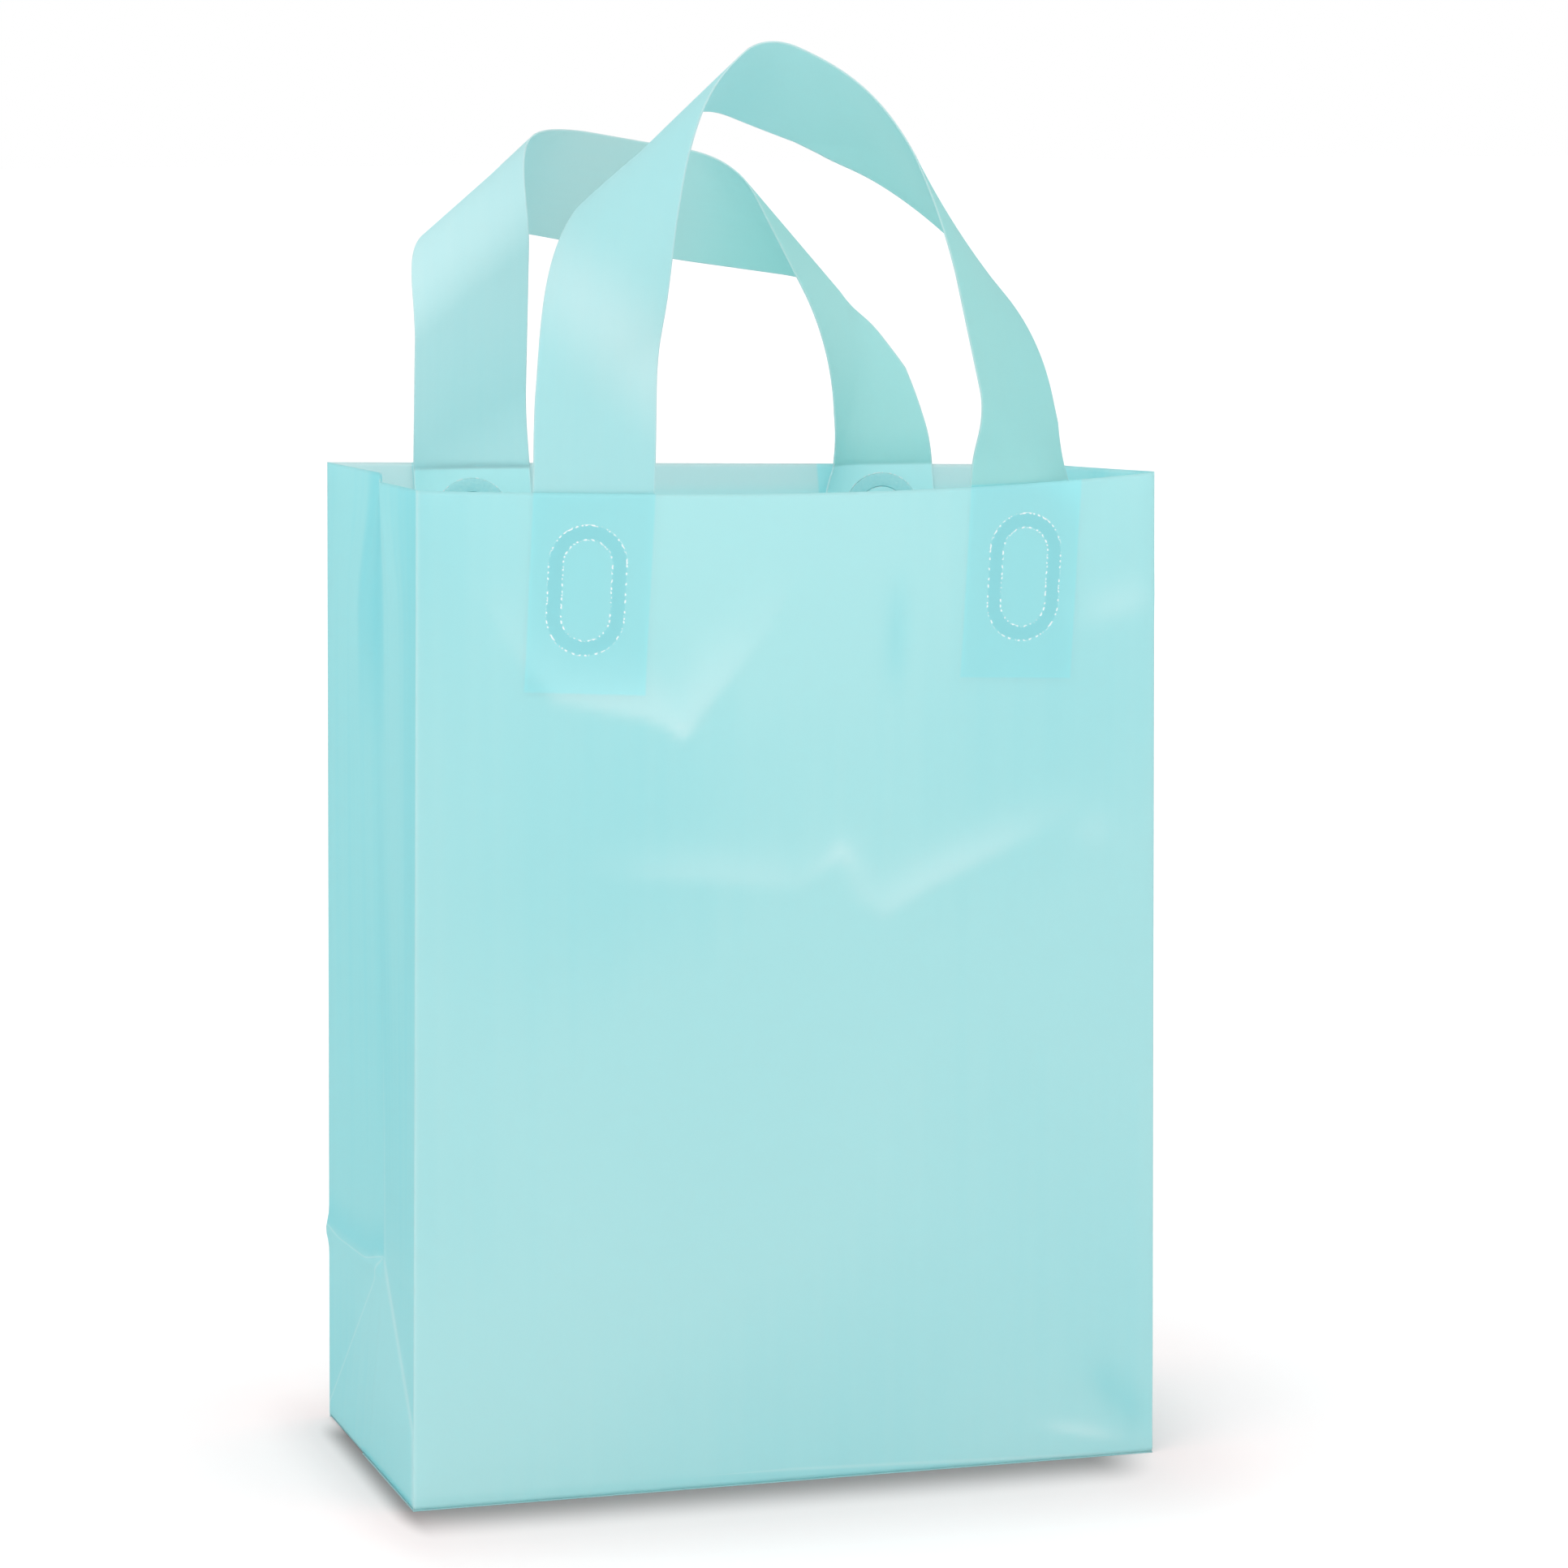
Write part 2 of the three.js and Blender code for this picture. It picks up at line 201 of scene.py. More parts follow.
# Left gusset's pleat at the mouth: fractions of the depth from the front, and how far out
PLEAT = ((0, 0), (0.3, 3.8 * MM), (0.59, -5 * MM), (0.78, -2.7 * MM), (1, 0))
PLEAT_RISE = 0.14

# How strongly the light and shade painted into the film show: paler for painted light and
# highlights, as deep in colour as a weld for painted shade; the hem band and a gusset's wedge are
# only painted darker, and the triangle below a gusset's crease only paler
LOW_PAINTED_LIGHT, RIDGE_HIGHLIGHT, REAR_RIM_LIGHT = 0.2, 0.25, 0.6
FOOT_PAINTED_LIGHT, TRIANGLE_PALE, GUSSET_RIM_LIGHT, APEX_HIGHLIGHT = 0.13, 0.07, 0.4, 0.6
HEM_DARK, WEDGE_DARK, CREASE_SHADE, PLEAT_SHADE, TUCK_SHADE, EDGE_SHADE = 0.2, 0.06, 0.5, 0.7, 0.3, 0.4

# How strongly the painted highlights along the crisp fold lines show, the reach of a line of
# strength 1, and the least strength
LEFT_EDGE, RIGHT_EDGE, REAR_EDGES, GUSSET_MIDDLE = 1.6, 0.4, 0.5, 1.4
FOOT_FOLD_FRONT, FOOT_FOLD_REAR, CREASE_LINE = 3.4, 0.8, 0.5
LINE_REACH = 1 * MM
FAINTEST = 0.02

# How many points the film has from foot to mouth and across each of its sides
FILM_ROWS = 144
FRONT_POINTS, RIGHT_POINTS, REAR_POINTS, LEFT_POINTS = 141, 46, 56, 91

# A soft crease is a line on a panel's film, in millimetres, x across and z up, with its widths left
# and right of the way it runs, the height of its ridge, below 0 for a dent, and the strength of its
# painted highlight, below 0 for painted shade in the dent.
Crease = namedtuple("Crease", "points left right height white")
FRONT_CREASES = (
    Crease(((-95, 284), (-78, 263), (-50, 257), (-38.5, 252), (-27, 265), (-11, 285)), 13, 2.5, 1.2, 0.75),
    Crease(((-42, 253), (-38, 249), (-32, 254)), 2.2, 1.6, 0.3, 0.5),
    Crease(((-60, 206), (-30, 204), (0, 200), (14, 206)), 9, 3, 0.8, 0.4),
    Crease(((8, 204), (15, 210), (22, 203)), 3, 2, 0.4, 0.6),
    Crease(((16, 206), (24, 195), (31, 190), (45, 198), (89, 217)), 9, 3, 1.0, 0.6),
    Crease(((33, 262), (34, 298)), 4, 4, -0.9, -0.3),
    Crease(((98, 283), (116, 288), (124, 290)), 8, 5, 0.8, 0.45),
    Crease(((96, 214), (110, 209)), 8, 5, 0.6, 0.25),
    Crease(((104, 32), (114, 20), (126, 8)), 7, 5, -1.0, -0.35),
    Crease(((88, 12), (102, 9), (114, 6)), 3, 1.5, 0.4, 0.6),
    Crease(((-120, 190), (-90, 120), (-70, 40)), 30, 30, 0.8, 0.06),
    Crease(((20, 150), (60, 90), (80, 30)), 28, 28, 0.7, 0.05),
)


def nearest(x, z, points):
    """Distance of each place from a line of straight stretches, the fraction along the line, and
    whether the place is on the left of it."""
    total = sum(math.dist(p, q) for p, q in zip(points, points[1:]))
    best = np.full(np.broadcast(x, z).shape, np.inf)
    along = np.zeros_like(best)
    left = np.zeros(best.shape, bool)
    walked = 0.0
    for p, q in zip(points, points[1:]):
        span = math.dist(p, q)
        dx, dz = (q[0] - p[0]) / span, (q[1] - p[1]) / span
        t = np.clip((x - p[0]) * dx + (z - p[1]) * dz, 0, span)
        away = np.hypot(x - p[0] - t * dx, z - p[1] - t * dz)
        nearer = away < best
        best = np.where(nearer, away, best)
        along = np.where(nearer, (walked + t) / total, along)
        left = np.where(nearer, (z - p[1]) * dx > (x - p[0]) * dz, left)
        walked += span
    return best, along, left


def crease_fields(x, z, creases):
    """Ridge height and painted light: each crease adds a rounded hump across its line that thins out
    towards both ends, and paints a highlight along it, or shade where it is a dent."""
    height, white = np.zeros(x.shape), np.zeros(x.shape)
    for crease in creases:
        away, along, left = nearest(x / MM, z / MM, crease.points)
        hump = bell(away, np.where(left, crease.left, crease.right))
        hump *= arch(np.clip(along, CREASE_END, 1 - CREASE_END)) ** 0.6
        height += crease.height * MM * hump
        white += crease.white * hump
    return height, white


class Wall:
    """The film tube as a function of place. A panel's fraction a runs from the left, a gusset's
    fraction b from the front, and z is the height along the film."""

    def __init__(self, sizes):
        self.width, self.depth, self.height = sizes.width, sizes.depth, sizes.height
        self.fold, self.bow, self.pinch = sizes.fold_height, sizes.front_bow, sizes.rear_pinch
        self.tucked, self.film = sizes.gusset_tuck, sizes.film

    def mouth_share(self, z):
        """Share of the mouth's shape that is felt at a height."""
        return smooth((z / self.height - 1 + MOUTH_REACH) / MOUTH_REACH)

    def half_width(self, z):
        return self.width / 2 * mix(1, MOUTH_NARROW, z / self.height)

    def half_depth(self, z):
        return self.depth / 2 * mix(1, MOUTH_DEEP, z / self.height)

    def ridge(self, z):
        """Crease that the folded base left at fold height: a small rounded hump."""
        return bell(z - self.fold, CREASE_REACH)

    def front_y(self, a, z):
        """Flat panel that bows out in its middle towards the mouth."""
        across = arch(a)
        soft = PANEL_SOFTNESS * across * np.sin(np.pi * z / self.height)
        return -self.half_depth(z) - self.bow * self.mouth_share(z) * across**2 - soft

    def rear_y(self, a, z):
        """Flat panel whose right end is drawn forward at the mouth, with the fold's ridge."""
        across = arch(a)
        drawn = self.pinch * a * self.mouth_share(z)
        return self.half_depth(z) - drawn + CREASE_RIDGE * self.ridge(z) * across**0.5

    def front_drop(self, a, z):
        skew = mix(1 - FRONT_SAG_SKEW, 1 + FRONT_SAG_SKEW, a)
        return FRONT_SAG * self.mouth_share(z) * arch(a) ** 0.7 * skew

    def rear_drop(self, a, z):
        return self.mouth_share(z) * mix(REAR_DROP_LEFT, REAR_DROP_RIGHT, a)

    def front(self, a, z):
        x = mix(-1, 1, a) * self.half_width(z)
        low = z - self.front_drop(a, z)
        height, white = crease_fields(x, low, FRONT_CREASES)
        hem = ramp(self.over_hem(x, z), HEM_EDGE, -HEM_EDGE)
        # Painted light: the panel is painted paler towards its foot, where less light reaches it. Below
        # the hem line it is painted darker.
        white += LOW_PAINTED_LIGHT * ramp(z, 190 * MM, 20 * MM) - HEM_DARK * hem
        return np.stack([x, self.front_y(a, z) - height, low], -1), white

    def over_hem(self, x, z):
        """Height above the pressed hem along the front's foot, which falls to the right."""
        return z - HEM_HEIGHT + HEM_SLOPE * np.maximum(x, 0)

    def rear(self, a, z):
        x = mix(-1, 1, a) * self.half_width(z) - REAR_SHIFT * a * self.mouth_share(z)
        # Painted light: a highlight along the fold's ridge, and the rim below the mouth painted paler as
        # if lit from the front.
        rim = ramp(z, self.height - 30 * MM, self.height - 10 * MM)
        white = RIDGE_HIGHLIGHT * self.ridge(z) + REAR_RIM_LIGHT * rim
        return np.stack([x, self.rear_y(a, z), z - self.rear_drop(a, z)], -1), white

    def behind(self, b):
        """0 in front of a gusset's middle and 1 behind it."""
        return ramp((b - 0.5) * self.depth, -5 * MM, 1 * MM)

    def foot_share(self, b, z):
        """How far up a gusset's foot a place is: 0 below the start of the foot's fold, which is
        higher in front than behind, and 1 from its apex on. Also its slope for each metre."""
        start = mix(FOOT_START_FRONT, FOOT_START_REAR, self.behind(b))
        slope = 1 / (self.fold + APEX_RISE - start)
        return np.clip((z - start) * slope, 0, 1), slope

    def tuck(self, b, z):
        """Inward dip of a gusset, which grows from its edges to its middle, and over the foot only
        as far as the sloping folds allow."""
        up, _ = self.foot_share(b, z)
        fade = 1 - TUCK_LOSS_AT_MOUTH * smooth((z - self.fold) / (self.height - self.fold))
        return self.tucked * np.minimum(up, 1 - np.abs(2 * b - 1)) * fade

    def gusset(self, side, b, z):
        edge = 0.0 if side < 0 else 1.0
        front, _ = self.front(np.full_like(z, edge), z)
        rear, _ = self.rear(np.full_like(z, edge), z)
        point = mix(front, rear, b[..., None])
        out = -self.tuck(b, z)
        if side < 0:
            share = smooth((z / self.height - 1 + PLEAT_RISE) / PLEAT_RISE)
            places, heights = zip(*PLEAT)
            out = out + share * np.interp(b, places, heights)
        ridge = CREASE_RIDGE * self.ridge(z) * smooth((b - 0.5) / CREASE_START)
        point[..., 0] += side * (out + ridge * mix(0.9, 0.6, np.abs(2 * b - 1)))
        return point, self.gusset_light_and_shade(side, b, z)

    def crease_level(self, b, z):
        """Height above the crease round a gusset, which rises to its apex at the middle."""
        y = (b - 0.5) * self.depth
        rise = ramp(y, 20 * MM, -4 * MM) + REAR_EDGE_RISE * ramp(y, 45 * MM, 64 * MM)
        return z - self.fold - APEX_RISE * rise

    def past_foot(self, b, z):
        """How far a place is past the sloping folds of a gusset's foot, and the slope of that."""
        up, slope = self.foot_share(b, z)
        return np.abs(2 * b - 1) + up - 1, np.hypot(2 / self.depth, slope)

    def gusset_light_and_shade(self, side, b, z):
        """Painted light and shade of a gusset: above 0 it is painted lighter on its foot and at the right
        one's rim, with a painted highlight at the fold's apex and a paler triangle below the crease; below
        0 it is painted shade over the crease, in the left one's pleat, along the middle, near the front
        edge and over the base flap, and the wedge before the foot's fold is a little darker."""
        y, height = (b - 0.5) * self.depth, self.height
        past, _ = self.past_foot(b, z)
        level = self.crease_level(b, z)
        foot, behind = ramp(level, 1 * MM, -1 * MM), self.behind(b)
        pale = FOOT_PAINTED_LIGHT * ramp(z, 90 * MM, 60 * MM) + TRIANGLE_PALE * ramp(past, 0.1, -0.2) * foot
        dark = WEDGE_DARK * ramp(past, 0, 0.3) * foot * (1 - behind)
        dark += CREASE_SHADE * ramp(level, 0, 2 * MM) * ramp(level, 16 * MM, 3 * MM) * behind
        pleat = ramp(y, -15 * MM, -13 * MM) * ramp(y, 25 * MM, 18 * MM)
        pleat *= ramp(z, height - 100 * MM, height - 40 * MM)
        dark += PLEAT_SHADE * pleat * (side < 0)
        pale += GUSSET_RIM_LIGHT * ramp(z, height - 20 * MM, height - 10 * MM) * (side > 0)
        from_apex = np.hypot(y - GUSSET_CREASE, z - self.fold - APEX_RISE)
        pale += APEX_HIGHLIGHT * bell(from_apex, 1.7 * MM)
        dark += TUCK_SHADE * bell(y + 4 * MM, 9 * MM) * ramp(z, 60 * MM, 200 * MM)
        dark += EDGE_SHADE * ramp(y, -36 * MM, -52 * MM) * ramp(z, 110 * MM, 230 * MM)
        # Painted shade in the gap at the foot, over the base flap's edge.
        dark += ramp(y, 13 * MM, 11 * MM) * ramp(z, 3.5 * MM, 1.5 * MM)
        return pale - dark


# Meshes


def outward(points, faces):
    """Turns all faces of a closed body round if its volume, summed over them, is negative."""
    p = points[faces]
    volume = np.einsum("ij,ij->i", p[:, 0], np.cross(p[:, 1], p[:, 2])).sum()
    volume += np.einsum("ij,ij->i", p[:, 0], np.cross(p[:, 2], p[:, 3])).sum()
    return faces[:, ::-1] if volume < 0 else faces


def grid_faces(rows, columns, first=0, around=False):
    """Quads of a grid of points numbered row by row, closed on itself if it goes around."""
    across = columns if around else columns - 1
    j, i = np.meshgrid(np.arange(rows - 1), np.arange(across), indexing="ij")
    k = (i + 1) % columns
    corners = [j * columns + i, j * columns + k, (j + 1) * columns + k, (j + 1) * columns + i]
    return first + np.stack(corners, -1).reshape(-1, 4)


def rim_faces(a, b):
    """Quads between two lines of point numbers."""
    return np.stack([a[:-1], a[1:], b[1:], b[:-1]], -1)


def closed_sheet(face, back):
    """Closed body between two grids of points: both faces, and walls along the four edges."""
    rows, columns = face.shape[:2]
    count = rows * columns
    number = np.arange(count).reshape(rows, columns)
    edge = np.concatenate([
        number[0], number[1:, -1], number[-1, -2::-1], number[-2:0:-1, 0], number[0, :1],
    ])
    faces = np.concatenate([
        grid_faces(rows, columns),
        grid_faces(rows, columns, count)[:, ::-1],
        rim_faces(edge, edge + count)[:, ::-1],
    ])
    points = np.concatenate([face.reshape(-1, 3), back.reshape(-1, 3)])
    return points, outward(points, faces)


def closed_ring(sections):
    """Closed body of a profile carried round a loop: both ways of the grid close on themselves."""
    count, corners = sections.shape[:2]
    wrapped = grid_faces(count + 1, corners, around=True) % (count * corners)
    points = sections.reshape(-1, 3)
    return points, outward(points, wrapped)


def new_piece(name, points, faces, material, slot, caps=()):
    """Mesh object from points, quads and flat many-sided caps, riding on the bag."""
    mesh = bpy.data.meshes.new(name)
    mesh.from_pydata(points.tolist(), [], [*faces.tolist(), *[list(map(int, cap)) for cap in caps]])
    mesh.validate()
    flags = np.ones(len(mesh.polygons), bool)
    flags[len(faces):] = False
    mesh.polygons.foreach_set("use_smooth", flags)
    mesh.materials.append(material)
    mesh.update()
    piece = bpy.data.objects.new(name, mesh)
    bpy.context.scene.collection.objects.link(piece)
    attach(piece, "root")
    return piece


def add_values(piece, name, values):
    """Keeps a number, or three of them, for each point of the mesh, for the material to read."""
    kind, field = ("FLOAT", "value") if values.ndim == 1 else ("FLOAT_VECTOR", "vector")
    attribute = piece.data.attributes.new(name, kind, "POINT")
    attribute.data.foreach_set(field, np.ascontiguousarray(values, np.float32).ravel())


def add_map(piece, name, places):
    """Keeps a flat place, in metres, for each point of the mesh as a UV map."""
    layer = piece.data.uv_layers.new(name=name)
    owner = np.zeros(len(piece.data.loops), np.int32)
    piece.data.loops.foreach_get("vertex_index", owner)
    layer.data.foreach_set("uv", np.ascontiguousarray(places[owner], np.float32).ravel())


# Bag film


def wall_grid(wall, z):
    """Places, painted light and shade, side share and fraction across of the tube: rows by height,
    columns once round."""
    sides = (
        (wall.front, crowded(FRONT_POINTS), 0.0),
        (partial(wall.gusset, 1), crowded(RIGHT_POINTS), 1.0),
        (wall.rear, crowded(REAR_POINTS)[::-1], 0.0),
        (partial(wall.gusset, -1), crowded(LEFT_POINTS)[::-1], 1.0),
    )
    grids = []
    for make, fractions, share in sides:
        a, height = np.meshgrid(fractions[:-1], z)
        grids.append((*make(a, height), np.full(a.shape, share), a))
    return [np.concatenate(parts, 1) for parts in zip(*grids)]


def level_inset(points, distance):
    """Moves each point of the rows inwards, square to its row and level with the floor."""
    step = np.roll(points, -1, 1) - np.roll(points, 1, 1)
    inward = np.stack([-step[..., 1], step[..., 0], np.zeros(step.shape[:2])], -1)
    inward /= np.linalg.norm(inward, axis=-1, keepdims=True)
    return points + inward * np.expand_dims(distance, -1)


def line_gaps(wall, points, cheek, fractions):
    """Distances from three families of crisp fold lines, below 0 on one side of a line, and
    divided by its strength, so that a faint line comes out thin. The film paints a highlight along
    the lines."""
    x, y, z = np.moveaxis(points, -1, 0)
    from_side = wall.half_width(z) - np.abs(x)
    drawn = np.where(x > 0, wall.pinch * wall.mouth_share(z), 0)
    behind = wall.behind(fractions)
    past, slope = wall.past_foot(fractions, z)
    level = wall.crease_level(fractions, z)
    foot = ramp(level, 1 * MM, -1 * MM)
    front = (1 - cheek) * (y < 0)
    low = ramp(z, wall.fold + 110 * MM, wall.fold) * (1 - foot)
    families = (
        (
            (np.hypot(from_side, y + wall.half_depth(z)), np.where(x > 0, RIGHT_EDGE, LEFT_EDGE)),
            (np.hypot(from_side, y - wall.half_depth(z) + drawn), REAR_EDGES),
            (y - GUSSET_CREASE, GUSSET_MIDDLE * low * cheek),
        ),
        (
            (past / slope, foot * mix(FOOT_FOLD_FRONT, FOOT_FOLD_REAR, behind) * cheek),
            (wall.over_hem(x, z), ramp(x, -40 * MM, 20 * MM) * front),
        ),
        ((level, CREASE_LINE * behind * cheek),),
    )
    found = []
    for family in families:
        gaps = np.array([
            np.where(strength > 0, gap / np.maximum(strength, FAINTEST), 1)
            for gap, strength in family
        ])
        closest = np.abs(gaps).argmin(0)
        found.append(np.take_along_axis(gaps, closest[None], 0)[0])
    return np.stack(found, -1)


def weld_places(wall, points):
    """Place of each point on the nearest strip end: how far it is from the strip's middle line,
    towards the loop's middle, and how far above the mouth, along the tilted strip."""
    x, y, z = points.T
    loops = [(p.centre, p.spacing, p.left.tilt, p.right.tilt) for p in (FRONT_LOOP, REAR_LOOP)]
    centre, spacing, left, right = (np.where(y < 0, *pair) for pair in zip(*loops))
    side = np.where(x < centre, -1, 1)
    tilt = np.radians(np.where(side < 0, left, right))
    across, up = (x - centre - side * spacing / 2) * -side, z - wall.height
    cos, sin = np.cos(tilt), np.sin(tilt)
    return np.stack([across * cos - up * sin, up * cos + across * sin], -1)


class BAG_OT_film(bpy.types.Operator):
    """Build the gusseted film tube with its flat base sheet"""

    bl_idname = "bag.film"
    bl_label = "Bag film"

    def execute(self, context):
        wall = Wall(context.scene.bag_sizes)
        z = mix(BASE_LIFT, wall.height, crowded(FILM_ROWS, 0.35))
        points, white, cheek, fractions = wall_grid(wall, z)
        lines = line_gaps(wall, points, cheek, fractions)
        low = np.clip(FOOT_ROUNDING - (points[..., 2] - BASE_LIFT), 0, None)
        rounding = FOOT_ROUNDING - np.sqrt(FOOT_ROUNDING**2 - low**2)
        outer = level_inset(points, rounding)
        inner = level_inset(outer, wall.film)
        inner[0, :, 2] += wall.film
        rows, columns = outer.shape[:2]
        count = rows * columns
        both = np.concatenate([outer.reshape(-1, 3), inner.reshape(-1, 3)])
        ring = np.arange(columns)
        top = np.append(ring, 0) + (rows - 1) * columns
        faces = np.concatenate([
            grid_faces(rows, columns, around=True),
            grid_faces(rows, columns, count, around=True)[:, ::-1],
            rim_faces(top, top + count),
        ])
        caps = (ring[::-1], ring + count)
        piece = new_piece("bag_film", both, faces, panel_material(context.scene), "frosted_film", caps)
        piece.data.materials.append(gusset_material(context.scene))
        at_side = np.zeros(len(piece.data.polygons), np.int32)
        at_side[:2 * (rows - 1) * columns] = np.tile(cheek[1:].ravel() > 0, 2)
        piece.data.polygons.foreach_set("material_index", at_side)
        add_values(piece, "painted_light_and_shade", np.tile(white.ravel(), 2))
        add_values(piece, "lines", np.tile(lines.reshape(-1, 3), (2, 1)))
        add_map(piece, "weld", weld_places(wall, both))
        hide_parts("bag_body")
        return {"FINISHED"}


FLAP_OVERLAP = 12 * MM
FLAP_INSET = 0.02 * MM
FLAP_FOLD = 0.03
FLAP_POINTS, FLAP_FOLD_ROWS, FLAP_ROWS = 61, 8, 21

FLAP_FOLD_LOW, FLAP_FOLD_HIGH = 0.03 * MM, 0.38 * MM

# A flap has a name, the side of its panel, how far its ends run in for each length of flap, and
# the heights of its two faces.
Flap = namedtuple("Flap", "name side taper low high")
FLAPS = (
    Flap("front_base_flap", -1, 0.0, 0.03 * MM, 0.18 * MM),
    Flap("rear_base_flap", 1, 1.0, 0.21 * MM, 0.36 * MM),
)


def flap_grid(wall, flap, level, at_fold):
    """Four-cornered sheet: its outer edge is the bag's foot, its inner edge is past the centre
    line by the overlap, and it thickens towards the fold to its panel."""
    reach = wall.depth / 2 + FLAP_OVERLAP
    folded = np.linspace(0, 2 * FLAP_FOLD, FLAP_FOLD_ROWS, endpoint=False)
    rows = np.append(folded, np.linspace(2 * FLAP_FOLD, 1, FLAP_ROWS))
    across, inwards = np.meshgrid(np.linspace(-1, 1, FLAP_POINTS), rows)
    x = across * (wall.width / 2 - FLAP_INSET - flap.taper * reach * inwards)
    y = flap.side * mix(wall.depth / 2 - FLAP_INSET, -FLAP_OVERLAP, inwards)
    return np.stack([x, y, mix(at_fold, level, smooth(inwards / FLAP_FOLD))], -1)


class BAG_OT_base_flaps(bpy.types.Operator):
    """Build the two folded base flaps that lie over each other under the bag"""

    bl_idname = "bag.base_flaps"
    bl_label = "Base flaps"

    def execute(self, context):
        wall = Wall(context.scene.bag_sizes)
        material = flap_material(context.scene)
        for flap in FLAPS:
            upper = flap_grid(wall, flap, flap.high, FLAP_FOLD_HIGH)
            lower = flap_grid(wall, flap, flap.low, FLAP_FOLD_LOW)
            new_piece(flap.name, *closed_sheet(upper, lower), material, "frosted_film")
        return {"FINISHED"}


# Loops of strip

# A roll winds the strip over about a slanted line. Its start above the mouth and its arc are shares
# of the loop's length, and its slant and turn are degrees. The slant is positive where it climbs
# towards the loop's middle, the turn where it goes to the rear.
Roll = namedtuple("Roll", "start slant arc turn")
Leg = namedtuple("Leg", "tilt rolls")
Loop = namedtuple("Loop", "centre spacing left right")

FRONT_LOOP = Loop(
    centre=6 * MM,
    spacing=145 * MM,
    left=Leg(3, (
        Roll(-0.009, 0, 0.036, 7),
        Roll(0.06, 31, 0.045, -27),
        Roll(0.27, -68, 0.06, -7),
        Roll(0.09, 52, 0.18, 124),
        Roll(0.45, 9, 0.06, 68),
    )),
    right=Leg(-3, (
        Roll(-0.009, 0, 0.036, -29),
        Roll(-0.006, 40, 0.036, 55),
        Roll(0.201, 7, 0.105, -18),
        Roll(0.135, 47, 0.207, 116),
        Roll(0.492, -14, 0.06, 67),
    )),
)
REAR_LOOP = Loop(
    centre=-8 * MM,
    spacing=136 * MM,
    left=Leg(-4, (
        Roll(-0.01, 0, 0.039, -1),
        Roll(-0.016, 28, 0.049, -18),
        Roll(0.226, 0, 0.072, 3),
        Roll(0.187, 38, 0.184, 174),
        Roll(0.262, 49, 0.157, 24),
    )),
    right=Leg(5, (
        Roll(-0.01, 0, 0.039, 29),
        Roll(-0.003, -60, 0.049, -61),
        Roll(-0.013, 0, 0.2, 36),
        Roll(0.23, 50, 0.072, 109),
        Roll(0.551, -37, 0.066, 43),
    )),
)
CROSSING_BLEND = 0.32
STRIP_ROWS, STRIP_POINTS = 461, 35
WELD_POINTS, WELD_CORNERS = 120, 12
WELD_RAISE = 0.12 * MM


def roll_over(p, roll, length):
    """Winds what lies past a slanted line round a cylinder for the arc's length, and straight on
    after it."""
    start, arc = roll.start * length, roll.arc * length
    slant, turn = math.radians(roll.slant), math.radians(roll.turn)
    nx, ny = -math.sin(slant), math.cos(slant)
    past = p[..., 0] * nx + (p[..., 1] - start) * ny
    along = p[..., 0] * ny - (p[..., 1] - start) * nx
    radius = arc / turn
    angle = np.clip(past / arc, 0, 1) * turn
    rest = np.maximum(0, past - arc)
    over = (radius - p[..., 2]) * np.sin(angle) + rest * np.cos(angle)
    back = radius - (radius - p[..., 2]) * np.cos(angle) + rest * np.sin(angle)
    rolled = np.stack([along * ny + over * nx, start - along * nx + over * ny, back], -1)
    return np.where((past > 0)[..., None], rolled, p)


class Strip:
    """One loop of strip against its panel, as a function of the place on the flat strip."""

    def __init__(self, scene, front):
        self.wall, self.sizes = Wall(scene.bag_sizes), scene.loop_sizes
        self.front = front
        self.loop = FRONT_LOOP if front else REAR_LOOP
        self.length = self.sizes.front_length if front else self.sizes.rear_length

    def panel(self, x, z):
        """Depth of the strip's front face where it lies against its panel."""
        wall = self.wall
        if self.front:
            a = x / (2 * wall.half_width(z)) + 0.5
            return wall.front_y(a, z + wall.front_drop(a, z)) + wall.film + WELD_GAP
        a = (x + wall.half_width(z)) / (2 * wall.half_width(z) - REAR_SHIFT * wall.mouth_share(z))
        behind = wall.film + WELD_GAP + self.sizes.strip_film
        return wall.rear_y(a, z + wall.rear_drop(a, z)) - behind

    def leg(self, side, across, up, lift):
        """Places of one leg and what is beyond it: across is towards the loop's middle, up is from
        the mouth, and lift is through the film."""
        leg = self.loop.left if side < 0 else self.loop.right
        p = np.stack(np.broadcast_arrays(across, up, lift), -1).astype(float)
        for roll in reversed(leg.rolls):
            p = roll_over(p, roll, self.length)
        tilt = math.radians(leg.tilt)
        middle = self.loop.centre + side * self.loop.spacing / 2
        x = middle - side * (p[..., 0] * math.cos(tilt) + p[..., 1] * math.sin(tilt))
        z = self.wall.height + p[..., 1] * math.cos(tilt) - p[..., 0] * math.sin(tilt)
        free = self.panel(middle - side * across * math.cos(tilt), np.full_like(z, self.wall.height))
        welded = self.panel(x, np.minimum(z, self.wall.height))
        foot = np.where(up > 0, free, welded)
        return np.stack([x, foot + p[..., 2], z], -1)

    def place(self, s, across, lift):
        """Places along the loop, where the two legs merge over its middle."""
        k = smooth((s / self.length - 0.5) / CROSSING_BLEND + 0.5)[..., None]
        return mix(self.leg(-1, across, s, lift), self.leg(1, across, self.length - s, lift), k)


